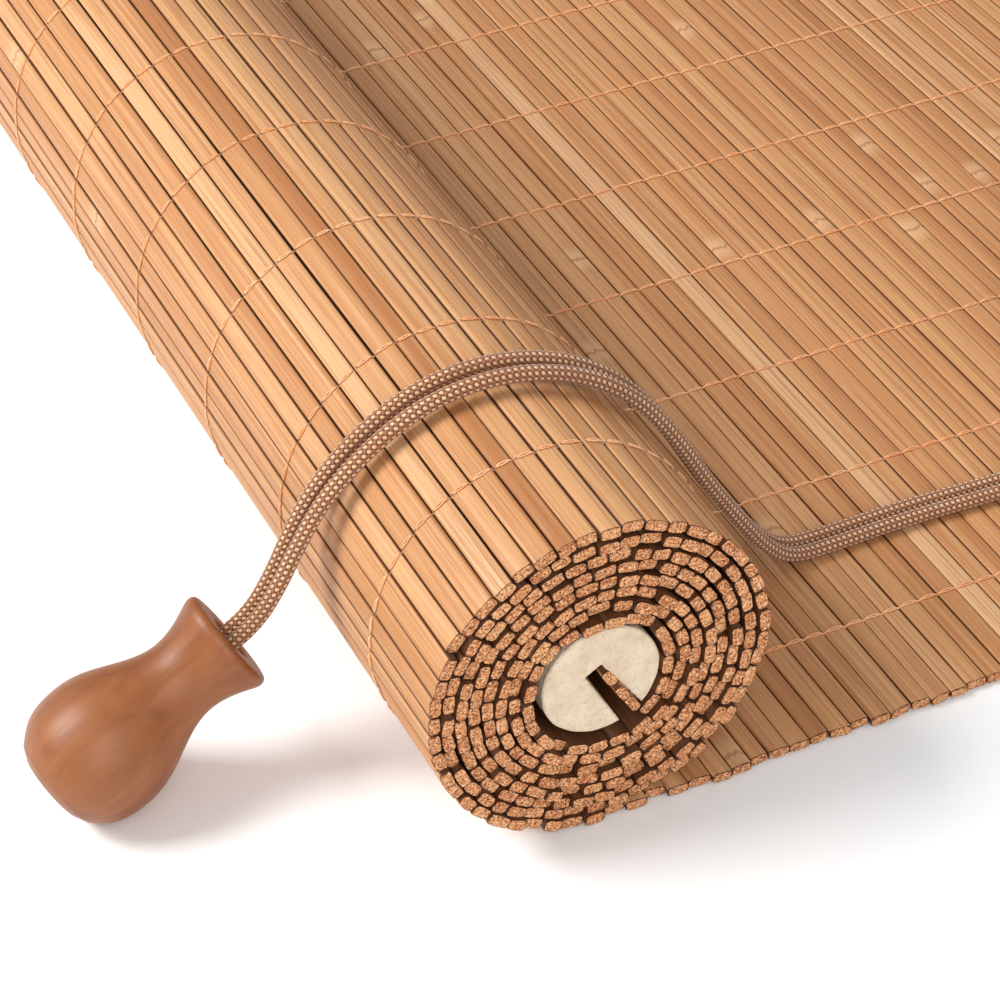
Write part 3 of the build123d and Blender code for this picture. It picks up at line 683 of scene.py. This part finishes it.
def coil_leaving(strand):
    """From the top of the coil outwards over its last turns and down beside it."""
    top = COIL_LOW + ROW_STEP * (COIL_ROWS - 1)
    start = coil_stops(strand)[-1][0]
    outside = LEAVE_RADIUS + LEAVE_STEP * strand
    way = [(0, 0.0, top + 0.3), (12, 0.2, top + 0.6), (24, 0.5, top + 0.9), (36, 0.85, top + 0.2),
           (47, 1.0, top - 3.4), (57, 1.0, top - 8.6), (67, 1.0, top - 13.8), (78, 1.0, 5.2),
           (90, 1.0, REST_HEIGHT)]
    return [coil_point(start + (outside - start) * share, ENTRY_ANGLE + angle, height)
            for angle, share, height in way]


def pull_point(along, side):
    return tuple(np.array(PULL_BASE) + PULL_AXIS * along + np.array([side, 0, 0]))


def strand_route(strand):
    """Millimetre points of one whole strand, from the lock's mouth to the knot in the pull."""
    sign = 1 if strand else -1
    knot_side = KNOT_SIDE * sign
    inside = [pull_point(along, knot_side) for along in (KNOT_DEPTH, MOUTH_POINT)]
    tail = inside + [pull_point(PULL_LENGTH + STRAIGHT_BEYOND, knot_side)]
    tail += [(x + sign * half, y, z) for (x, y, z), half in TAIL]
    lead = LEADS[strand] + [(EXIT_INSET, LOCK_MOUTH, LOCK_CORDS[strand])]
    whole = tail + coil_turns(strand) + coil_leaving(strand) + lead
    return [at(*point) for point in reversed(whole)]


def centreline(points):
    """The NURBS curve through the control points, as close points in order."""
    curve = bpy.data.curves.new("route", "CURVE")
    curve.dimensions = "3D"
    spline = curve.splines.new("NURBS")
    spline.points.add(len(points) - 1)
    for spot, point in zip(spline.points, points):
        spot.co = (*point, 1.0)
    spline.order_u = 3
    spline.use_endpoint_u = True
    curve.resolution_u = 12
    holder = bpy.data.objects.new("route", curve)
    bpy.context.scene.collection.objects.link(holder)
    bpy.context.view_layer.update()
    mesh = bpy.data.meshes.new_from_object(holder)
    line = np.array([vertex.co for vertex in mesh.vertices])
    bpy.data.objects.remove(holder)
    bpy.data.curves.remove(curve)
    bpy.data.meshes.remove(mesh)
    return line


def restep(line, stations):
    """Points of the line at the given lengths along it."""
    along = lengths(line)
    return np.stack([np.interp(stations, along, line[:, k]) for k in range(3)], axis=1)


def soften(line, rounds):
    """Evens out the corners that straight steps leave."""
    for _ in range(rounds):
        line[1:-1] = line[1:-1] * 0.5 + (line[:-2] + line[2:]) * 0.25
    return line


FINE_STEP = 0.18 * MM
COARSE_STEP = 1.5 * MM
CORD_RING = 24
RELIEF = 0.05                   # the braid's height as a share of the cord's radius


def inside_any(here, ranges):
    return any(low <= here <= high for low, high in ranges)


def braided_tube(name, line, fine_ranges, replaced, body=None, girth=1.01):
    """A cord along the line: braid in relief in the fine ranges, plainer elsewhere."""
    total = lengths(line)[-1]
    stations = [0.0]
    while stations[-1] < total - FINE_STEP:
        here = stations[-1]
        step = FINE_STEP if inside_any(here, fine_ranges) else COARSE_STEP
        stations.append(min(total, here + step))
    stations = np.array(stations)
    line = soften(restep(line, stations), 3)
    turn = (np.arange(CORD_RING) + 0.5) / CORD_RING
    relief = braid_heights(stations[:, None], turn[None, :])
    detailed = np.array([inside_any(here, fine_ranges) for here in stations])
    relief = np.where(detailed[:, None], relief, 0.5)
    radius = CORD_R * (girth + RELIEF * relief)
    parts = Parts()
    add_tube(parts, line, radius, CORD_RING)
    piece = parts.piece(name, CORD, "braided_cord", body, replaced)
    return piece, line


def make_free_cords():
    """Both free strands, from the lock to the knot in the pull."""
    strands = []
    for strand, letter in enumerate("ab"):
        route = centreline(strand_route(strand))
        total = lengths(route)[-1]
        nodes = [f"cord_{part}_{letter}" for part in ("tail", "lead", "fold")]
        if strand == 0:
            nodes.append("cord_coil")
        fine_ranges = [(0.0, 0.08), (total - 0.32, total)]
        piece, line = braided_tube(f"free_cord_{letter}", route, fine_ranges, nodes)
        exit_point = at(EXIT_INSET, LOCK_MOUTH, LOCK_CORDS[strand])
        strands.append((piece, line, exit_point))
    return strands


strands = make_free_cords()


TIE_WIDTH = 4.0
TIE_THICK = 0.22
TIE_CLEAR = 0.15
TIE_COUNT = 96                  # points round the band
TIE_ROWS = 9                    # and across its width


def tie_outline(half_width, half_height):
    """Even points round the coil's section, a rectangle with soft corners."""
    bend = 0.22
    outline = []
    for k in range(TIE_COUNT):
        angle = 2 * math.pi * (k + 0.5) / TIE_COUNT
        c, s = math.cos(angle), math.sin(angle)
        outline.append((abs(c) ** bend * math.copysign(half_width, c),
                        abs(s) ** bend * math.copysign(half_height, s)))
    closed = np.array(outline + outline[:1])
    length = lengths(closed)
    even = np.linspace(0, length[-1], TIE_COUNT, endpoint=False)
    return np.stack([np.interp(even, length, closed[:, k]) for k in range(2)], axis=1)


def tie_points():
    """The band's inner layer and then its outer one, with a slight ripple."""
    margin = CORD_D / MM / 2 + TIE_CLEAR
    half_width = (5 * COLUMN_STEP + 2 * STAGGER) / 2 + margin
    half_height = (COIL_ROWS - 1) * ROW_STEP / 2 + margin
    middle_r = COIL_INNER + 2.5 * COLUMN_STEP
    middle_z = COIL_LOW + (COIL_ROWS - 1) * ROW_STEP / 2
    outline = tie_outline(half_width, half_height)
    points = []
    for layer in (0.0, TIE_THICK):
        for row in range(TIE_ROWS):
            across = (row / (TIE_ROWS - 1) - 0.5) * TIE_WIDTH
            for number, (a, b) in enumerate(outline):
                out = np.array([a / half_width, b / half_height])
                out /= np.linalg.norm(out)
                ripple = 0.05 * math.sin(number * 1.9 + row * 0.5)
                a2, b2 = np.array([a, b]) + out * (layer + ripple + 0.05)
                points.append(at(COIL_INSET - middle_r + a2, COIL_DISTANCE + across,
                                 middle_z + b2))
    return np.array(points)


def make_tie():
    """The paper band round the coil."""
    inner = ring_quads(TIE_ROWS, TIE_COUNT)
    outer = inner + TIE_ROWS * TIE_COUNT
    k = np.arange(TIE_COUNT)
    after = (k + 1) % TIE_COUNT
    base = TIE_ROWS * TIE_COUNT
    low_edge = np.stack([k, base + k, base + after, after], axis=-1)
    top = (TIE_ROWS - 1) * TIE_COUNT
    high_edge = np.stack([top + k, top + after, base + top + after, base + top + k], axis=-1)
    parts = Parts()
    parts.add(tie_points(), np.concatenate([inner, outer[:, ::-1], low_edge, high_edge]))
    return parts.piece("coil_band", PAPER, "paper_tie", "root", ["coil_tie"])


tie = make_tie()


# ---- cord pull ----------------------------------------------------------------------------------
def pull_outline():
    """(radius, length from the base) of the turned pull, outside first and then the bore."""
    side = np.array([(8.6, 1.2), (11.2, 4.6), (12.3, 9.6), (12.0, 14.0), (10.2, 19.2), (8.0, 24.2),
                     (7.1, 28.4), (7.7, 32.8), (9.2, 36.8)])
    steps = lengths(np.column_stack([side, np.zeros(len(side))]))
    fine = np.linspace(0, steps[-1], 90)
    smooth = np.stack([cubic(steps, side[:, k], fine) for k in range(2)], axis=1)
    foot = [(5.0, 0.0), (5.6, 0.0), (6.1, 0.02), (6.5, 0.12), (7.0, 0.4), (7.8, 0.8)]
    rim = [(9.36, 37.3), (9.42, 37.8), (9.36, 38.3), (9.15, 38.7), (8.85, 38.93), (8.5, 39.0),
           (7.4, 39.02), (6.0, 38.98), (4.8, 38.97), (4.2, 38.85), (3.9, 38.6), (3.5, 38.3),
           (3.25, 38.0), (3.2, 37.4), (3.2, 30.0), (3.2, 20.0), (3.2, 17.4), (3.35, 17.05),
           (3.8, 17.0), (4.6, 17.0), (4.95, 16.9), (5.0, 16.5), (5.0, 10.0), (5.0, 3.0),
           (5.0, 0.6), (5.0, 0.0)]
    return np.vstack([foot, smooth, rim[:-1]])


def cubic(knots, values, spots):
    """Natural cubic interpolation."""
    count = len(knots)
    gap = np.diff(knots)
    matrix = np.eye(count)
    right = np.zeros(count)
    for k in range(1, count - 1):
        matrix[k, k - 1:k + 2] = (gap[k - 1], 2 * (gap[k - 1] + gap[k]), gap[k])
        right[k] = 6 * ((values[k + 1] - values[k]) / gap[k]
                        - (values[k] - values[k - 1]) / gap[k - 1])
    curve = np.linalg.solve(matrix, right)
    index = np.clip(np.searchsorted(knots, spots, side="right") - 1, 0, count - 2)
    step = gap[index]
    before = (knots[index + 1] - spots) / step
    after = (spots - knots[index]) / step
    return (before * values[index] + after * values[index + 1]
            + ((before ** 3 - before) * curve[index] + (after ** 3 - after) * curve[index + 1])
            * step ** 2 / 6)


def make_pull():
    outline = pull_outline() * MM
    ring = 96
    angles = np.arange(ring) * 2 * math.pi / ring
    side = np.array([1.0, 0.0, 0.0])
    side -= (side @ PULL_AXIS) * PULL_AXIS
    side /= np.linalg.norm(side)
    up = np.cross(PULL_AXIS, side)
    around = np.cos(angles)[:, None] * side + np.sin(angles)[:, None] * up
    wobble = 1 + 0.004 * np.sin(2 * angles + 0.7)
    base = at(*PULL_BASE)
    points = (base + outline[:, 0, None, None] * wobble[None, :, None] * around[None]
              + outline[:, 1, None, None] * PULL_AXIS)
    local = np.stack([outline[:, 0, None] * np.cos(angles), outline[:, 0, None] * np.sin(angles),
                      np.repeat(outline[:, 1, None], ring, axis=1)], axis=-1)
    rows = len(outline)
    quads = ring_quads(rows, ring)
    k = np.arange(ring)
    after = (k + 1) % ring
    close = np.stack([(rows - 1) * ring + k, (rows - 1) * ring + after, after, k], axis=-1)
    parts = Parts()
    parts.add(points, np.concatenate([quads, close]), grain=local.reshape(-1, 3))
    return parts.piece("turned_pull", STAINED, "stained_wood", "cord_pull", ["cord_pull"])


pull = make_pull()
FOLD_Y = ROLL_Y + FOLD
for piece, line, exit_point in strands:
    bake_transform(piece)


# ---- slats --------------------------------------------------------------------------------------
RING = 18
SQUARENESS = 4.4
LIP = 0.12 * MM                 # sets how far the rounding at a cut end reaches


def slat_section(pitch, gap, thick):
    """Half width, half thickness, and the rounded section's points across and through the slat."""
    angles = (np.arange(RING) + 0.5) * 2 * math.pi / RING
    power = 2 / SQUARENESS
    cos, sin = np.cos(angles), np.sin(angles)
    half_w = (pitch - gap) / 2
    half_t = thick / 2 * random.uniform(0.93, 1.0)
    across = half_w * np.sign(cos) * np.abs(cos) ** power
    through = half_t * np.sign(sin) * np.abs(sin) ** power
    return half_w, half_t, across, through


def slat_rows(stations, end_spread):
    """X of each ring along a slat, and its size there: ends are uneven and a little rounded."""
    long_end = 1.0 + 2.2 * (random.random(2) > 0.93)
    offsets = random.normal(0, end_spread, 2) * long_end
    offsets = np.clip(offsets, -2.6 * end_spread, 3.2 * end_spread)
    low = LEFT_X - offsets[0]
    high = RIGHT_X + offsets[1]
    middle = np.linspace(low, high, stations)
    x = np.concatenate([[low - 1.6 * LIP, low - LIP], middle, [high + LIP, high + 1.6 * LIP]])
    scale = np.concatenate([[0.85, 0.97], np.ones(stations), [0.97, 0.85]])
    return x, scale


def slat_waves(x, lively):
    """How far the slat wanders sideways and up along its length."""
    wave = lively * np.sin(x * random.uniform(9, 26) + random.uniform(0, 6))
    wave += 0.5 * lively * np.sin(x * random.uniform(30, 70) + random.uniform(0, 6))
    lift = 0.35 * lively * np.sin(x * random.uniform(12, 40) + random.uniform(0, 6))
    return wave[:, None], lift[:, None]


def rough_ends(x, s, t):
    """The slat's points with its last three rings at each end slanted and roughly cut."""
    rows = len(x)
    slant = random.normal(0, 0.05, 2)
    xs = np.repeat(x[:, None], RING, axis=1)
    near = x > (x[0] + x[-1]) / 2
    from_end = np.minimum(np.arange(rows), np.arange(rows)[::-1])
    ends = (from_end < 3)[:, None]
    xs += np.where(ends, 1, 0) * np.where(near, slant[1], slant[0])[:, None] * s
    rough = random.normal(0, 0.05 * MM, xs.shape)
    xs += np.where(ends, rough, 0)
    ragged = random.normal(1.0, 0.035, (2, *xs.shape))
    return xs, np.where(ends, s * ragged[0], s), np.where(ends, t * ragged[1], t)


def add_slat(parts, layout, number, stations, gap, end_spread, lively, thick, covered):
    """One slat: rounded section, a little wave along it, and roughly cut ends.

    What lies further in than the covered share of its thickness is painted dark as shade, as are
    its long edges and the rims of its cut ends.
    """
    pitch, y, z, turn = layout
    half_w, half_t, across, through = slat_section(pitch, gap, thick)
    x, scale = slat_rows(stations, end_spread)
    wave, lift = slat_waves(x, lively)
    tilt = random.normal(0, 0.02)
    s = across[None, :] * scale[:, None] + wave
    t = through[None, :] * scale[:, None] + lift + tilt * across[None, :]
    xs, s, t = rough_ends(x, s, t)
    cos_t, sin_t = math.cos(turn), math.sin(turn)
    points = np.stack([xs, y + s * cos_t + t * sin_t, z - s * sin_t + t * cos_t], axis=-1)
    grain = np.stack([xs, s + number * 0.0173, t + number * 0.0091], axis=-1)
    rows = len(x)
    quads = np.concatenate([ring_quads(rows, RING), cap_quads(0, RING, True),
                            cap_quads((rows - 1) * RING, RING, False)])
    tone = np.full(rows * RING, np.clip(random.normal(0.5, 0.2), 0, 1))
    cut = np.repeat((scale < 1).astype(float), RING)
    # Painted shade: rising towards the long edges, and full on faces hidden inside the roll.
    edge = np.tile(np.where(through / half_t > covered, 1.0, np.abs(across) / half_w), rows)
    # On the cut ends, full painted shade on the ring round the end's rounded rim.
    edge = np.where(cut > 0, np.repeat((scale > 0.9).astype(float), RING), edge)
    parts.add(points, quads, grain=grain.reshape(-1, 3), tone=tone, cut=cut, edge=edge)


def make_slats(node, layouts, first, stations, gap, end_spread, lively, body="root",
               thick=SLAT_THICK, covered=2.0):
    parts = Parts()
    for k, layout in enumerate(layouts):
        add_slat(parts, layout, first + k, stations, gap * random.uniform(0.4, 1.7), end_spread,
                 lively, thick, covered)
    return parts.piece(f"bamboo_{node}", BAMBOO, "bamboo", body, [node])


BULGE = 0.7 * MM                # the roll is this much wider than the spiral on its far side
SAG = 1.2 * MM                  # the core hangs this far below the roll's axis


def jittered(wrap):
    """Rolled slats a little in and out of the true spiral."""
    rows = []
    for pitch, y, z, turn in wrap:
        out = random.normal(0, 0.06 * MM)
        lean = random.normal(0, 0.03)
        y += BULGE * max(0.0, -math.sin(turn)) * math.exp(-0.06 * (turn - 4.7))
        z -= SAG * turn / (2 * math.pi * TURNS)
        y += out * -math.sin(turn)
        z += out * -math.cos(turn)
        rows.append((pitch, y, z, turn + lean))
    return rows


ROLLED_THICK = 2.2 * MM         # the roll's slats, as thick as their ends show
INNER_FACE = 0.3                # the covered share of the outermost slats
ALL_FACES = -2.0                # and of the slats inside the roll
FLAT_SLATS = (0.08 * MM, 0.4 * MM, 0.05 * MM)      # mean gap, spread of ends, waviness
ROLLED_SLATS = (0.1 * MM, 0.36 * MM, 0.06 * MM)
GRIPPED_SLATS = (0.1 * MM, 0.3 * MM, 0.03 * MM)
SHORT_STATIONS = 10

flat = flat_layout()
root_count = sum(1 for row in flat if row[1] < FOLD_Y)
wraps = [jittered(wrap) for wrap in rolled_layout()]
long_stations = 56
make_slats("mat_slats", flat[:root_count], 0, long_stations, *FLAT_SLATS)
make_slats("mat_slats_head", flat[root_count:], 60, long_stations, *FLAT_SLATS, "headrail")
for turn_number, wrap in enumerate(wraps, start=1):
    stations = long_stations if turn_number == 1 else SHORT_STATIONS
    covered = INNER_FACE if turn_number == 1 else ALL_FACES
    make_slats(f"roll_wrap_{turn_number}", wrap, 60 * (turn_number + 1), stations,
               *ROLLED_SLATS, thick=ROLLED_THICK, covered=covered)
grips = [(pitch, y, z - SAG, turn) for pitch, y, z, turn in grip_layout()]
make_slats("core_grip_slats", grips, 700, SHORT_STATIONS, *GRIPPED_SLATS)


# ---- core ---------------------------------------------------------------------------------------
CORE_R = 10.6 * MM
SLOT_BOTTOM = -2.7 * MM          # past the axis, seen from the slot's mouth
SLOT_RIM_HALF = 2.35 * MM
SLOT_BOTTOM_HALF = 1.7 * MM
CORE_SUNK = 0.45 * MM           # its end faces, in from the slats' ends


def core_section(inset):
    """The slotted disc as a bent band: its outer arc, then back along the slot's three sides."""
    radius = CORE_R - inset
    rim_half = SLOT_RIM_HALF + inset
    inner_half = SLOT_BOTTOM_HALF + inset
    bottom = SLOT_BOTTOM - inset
    count = 64
    gap = math.asin(rim_half / radius)
    sweep = np.linspace(gap, 2 * math.pi - gap, count)
    wobble = 0.05 * MM * np.sin(7 * sweep) + 0.03 * MM * np.sin(17 * sweep + 1)
    outer = np.stack([(radius + wobble) * np.cos(sweep), (radius + wobble) * np.sin(sweep)], axis=1)
    corners = np.array([(radius * math.cos(gap), rim_half), (bottom, inner_half),
                        (bottom, -inner_half), (radius * math.cos(gap), -rim_half)])
    sides = np.column_stack([corners, np.zeros(4)])
    inner = restep(sides, np.linspace(0, lengths(sides)[-1], count))[:, :2]
    inner[1:-1, 1] += 0.05 * MM * np.sin(np.arange(1, count - 1) * 1.7)
    return np.vstack([outer, inner[::-1]])


def make_core():
    lip = 0.25 * MM
    high = RIGHT_X - CORE_SUNK
    low = LEFT_X + CORE_SUNK
    x = np.concatenate([[low, low + lip], np.linspace(low + 10 * lip, high - 10 * lip, 12),
                        [high - lip, high]])
    rows = len(x)
    cos, sin = math.cos(SLOT_ANGLE), math.sin(SLOT_ANGLE)
    points = []
    for row, spot in enumerate(x):
        section = core_section(lip if row in (0, rows - 1) else 0.0)
        y = ROLL_Y + section[:, 0] * cos - section[:, 1] * sin
        z = ROLL_Z - SAG + section[:, 0] * sin + section[:, 1] * cos
        points.append(np.column_stack([np.full(len(section), spot), y, z]))
    ring = len(points[0])
    quads = np.concatenate([ring_quads(rows, ring), cap_quads(0, ring, True),
                            cap_quads((rows - 1) * ring, ring, False)])
    parts = Parts()
    parts.add(np.array(points), quads)
    piece = parts.piece("slotted_core", FIBREBOARD, "fibreboard", "root", ["core_rod"])
    piece.data.polygons.foreach_set("use_smooth", np.zeros(len(piece.data.polygons), bool))


make_core()


# ---- warp threads -------------------------------------------------------------------------------
def thread_places():
    """X of each thread pair."""
    first, second = FIRST_THREADS
    step = (WIDTH - 2 * second) / THREAD_STEPS
    insets = [first] + [second + step * k for k in range(THREAD_STEPS + 1)] + [WIDTH - first]
    return [RIGHT_X - inset for inset in insets]


def add_threads(parts, layouts, face, thread_r, ring, shares, spread, dip, flat_by, thick):
    """Two strands for each pair, crossing at every gap between slats, on one face of the mat."""
    for x in thread_places():
        sway_phase = random.uniform(0, 6)
        for sign in (1, -1):
            line = []
            for number, (pitch, y, z, turn) in enumerate(layouts):
                side = sign * (-1) ** number
                for share in shares:
                    arch = math.sin(math.pi * share)
                    s = (share - 0.5) * pitch
                    rise = min(1.0, arch / 0.6)
                    over = thick / 2 + thread_r * flat_by + 0.01 * MM
                    t = over - dip * (1 - rise) ** 1.5 + (1 - rise) * side * thread_r * 0.7
                    sway = 0.12 * MM * math.sin(number * 0.8 + sway_phase)
                    offset = side * spread * arch + sway
                    t *= face
                    line.append((x + offset, y + s * math.cos(turn) + t * math.sin(turn),
                                 z - s * math.sin(turn) + t * math.cos(turn)))
            line = np.array(line)
            tangent = np.gradient(line, axis=0)
            tangent /= np.linalg.norm(tangent, axis=1)[:, None]
            aside = np.array([1.0, 0, 0]) - tangent[:, :1] * tangent
            aside /= np.linalg.norm(aside, axis=1)[:, None]
            upward = np.cross(tangent, aside)
            add_tube(parts, line, thread_r, ring, (aside, upward), flat_by)


THREAD_SPREAD = 0.28 * MM
FULL_SHARES = (0.0, 0.1, 0.25, 0.5, 0.75, 0.9)      # of a slat's width, where a point lies
PLAIN_SHARES = (0.0, 0.35, 0.65)
PLAIN = {"shares": PLAIN_SHARES, "dip": 0.2 * MM, "thread_r": 0.15 * MM}


def make_threads(name, layouts, face, body, replaced, shares=FULL_SHARES, ring=6, dip=0.5 * MM,
                 thread_r=0.14 * MM, flat_by=1.0, thick=SLAT_THICK):
    parts = Parts()
    add_threads(parts, layouts, face, thread_r, ring, shares, THREAD_SPREAD, dip, flat_by, thick)
    return parts.piece(name, THREAD, "warp_thread", body, replaced)


make_threads("warp_over", flat[:root_count], 1, "root", ["threads_over"])
make_threads("warp_over_head", flat[root_count:], 1, "headrail", ["threads_over_head"])
make_threads("warp_under", flat[:root_count], -1, "root", ["threads_under"], flat_by=0.75, **PLAIN)
make_threads("warp_under_head", flat[root_count:], -1, "headrail", ["threads_under_head"],
             flat_by=0.75, **PLAIN)
make_threads("warp_roll", wraps[0], -1, "root", ["roll_threads"], thick=ROLLED_THICK)
inner_slats = [row for wrap in wraps[1:] for row in wrap]
make_threads("warp_roll_inner", inner_slats, -1, "root", [], ring=4, flat_by=0.7, **PLAIN)


# ---- headrail cords and CAD nodes ---------------------------------------------------------------
TURN_R = 5.45                   # a lift cord's middle round a pulley or the lock's wheel
PULLEY_LEVEL = 12.4
LOCK_INSET = 48.4
LIFT_START = 213.4              # the end knot's distance from the roll's axis
LIFT_GIRTH = 0.94


def quarter_turn(inset, distance, start, level):
    """A quarter turn round a wheel's middle, back from the start angle in degrees."""
    angles = [math.radians(start - 90 * k / 8) for k in range(9)]
    return [(inset + TURN_R * math.cos(angle), distance + TURN_R * math.sin(angle), level)
            for angle in angles]


def make_lift_cord(side, pulley_inset, level):
    """From the end knot round the pulley, along the batten and round the lock's wheel."""
    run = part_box(f"cord_lift_{side}")[1].y - CORD_R
    run = (run - ROLL_Y) / MM
    points = [(-pulley_inset - TURN_R, LIFT_START, PULLEY_LEVEL)]
    points += quarter_turn(-pulley_inset, run - TURN_R, 180, PULLEY_LEVEL)
    for share in (0.2, 0.5, 0.8):
        inset = -pulley_inset + share * (pulley_inset - LOCK_INSET)
        points.append((inset, run, PULLEY_LEVEL + share * (level - PULLEY_LEVEL)))
    points += quarter_turn(-LOCK_INSET, run - TURN_R, 90, level)
    points.append((-LOCK_INSET + TURN_R, LOCK_MOUTH, level))
    line = centreline([at(*point) for point in points])
    whole = [(0.0, lengths(line)[-1])]
    braided_tube(f"lift_cord_{side}", line, whole, [f"cord_lift_{side}"], "headrail",
                 girth=LIFT_GIRTH)


make_lift_cord("left", 490.0, LOCK_CORDS[0])
make_lift_cord("right", 100.0, LOCK_CORDS[1])

KNOT_CORD = cord_material("knotted_cord", paint(164, 104, 64), paint(236, 192, 146))
LOOKS = {
    "headrail_batten": BATTEN,
    "pull_knot": KNOT_CORD, "lift_knot_left": KNOT_CORD, "lift_knot_right": KNOT_CORD,
    "lock_roller": BRASS,
    "lock_wheel": NYLON, "pulley_wheel_left": NYLON, "pulley_wheel_right": NYLON,
}
for name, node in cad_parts.items():
    if node.hide_render:
        continue
    node.data.materials.clear()
    node.data.materials.append(LOOKS.get(name, ZINC))


# ---- surface and light --------------------------------------------------------------------------
def make_floor():
    half = 6.0
    mesh = bpy.data.meshes.new("floor")
    mesh.from_pydata([(-half, -half, 0), (half, -half, 0), (half, half, 0), (-half, half, 0)],
                     [], [(0, 1, 2, 3)])
    floor = bpy.data.objects.new("floor", mesh)
    bpy.context.scene.collection.objects.link(floor)
    g = Graph("floor")
    speckle = g.noise(g.scaled(g.place(), (300, 300, 300)), detail=3)
    g.shade(Base_Color=g.blend(speckle, (0.93, 0.93, 0.93, 1), (0.95, 0.95, 0.95, 1)),
            Roughness=0.9, Specular_IOR_Level=0.1)
    mesh.materials.append(g.material)


def add_area(name, place, aim, size, power):
    data = bpy.data.lights.new(name, "AREA")
    data.size = size
    data.energy = power
    lamp = bpy.data.objects.new(name, data)
    lamp.location = place
    lamp.rotation_mode = "QUATERNION"
    lamp.rotation_quaternion = (Vector(aim) - Vector(place)).to_track_quat("-Z", "Y")
    bpy.context.scene.collection.objects.link(lamp)


WORLD_STRENGTH = 0.45


def make_light():
    world = bpy.data.worlds.new("studio")
    world.use_nodes = True
    background = world.node_tree.nodes["Background"]
    background.inputs["Color"].default_value = (1.0, 1.0, 1.0, 1)
    background.inputs["Strength"].default_value = WORLD_STRENGTH
    bpy.context.scene.world = world
    bpy.context.scene.view_settings.view_transform = "Standard"
    aim = (0.2, -0.08, 0.03)
    add_area("key", (-0.15, -1.0, 0.98), aim, 0.6, 19.0)
    add_area("fill", (1.3, -0.35, 0.75), aim, 0.9, 9.0)


make_floor()
make_light()
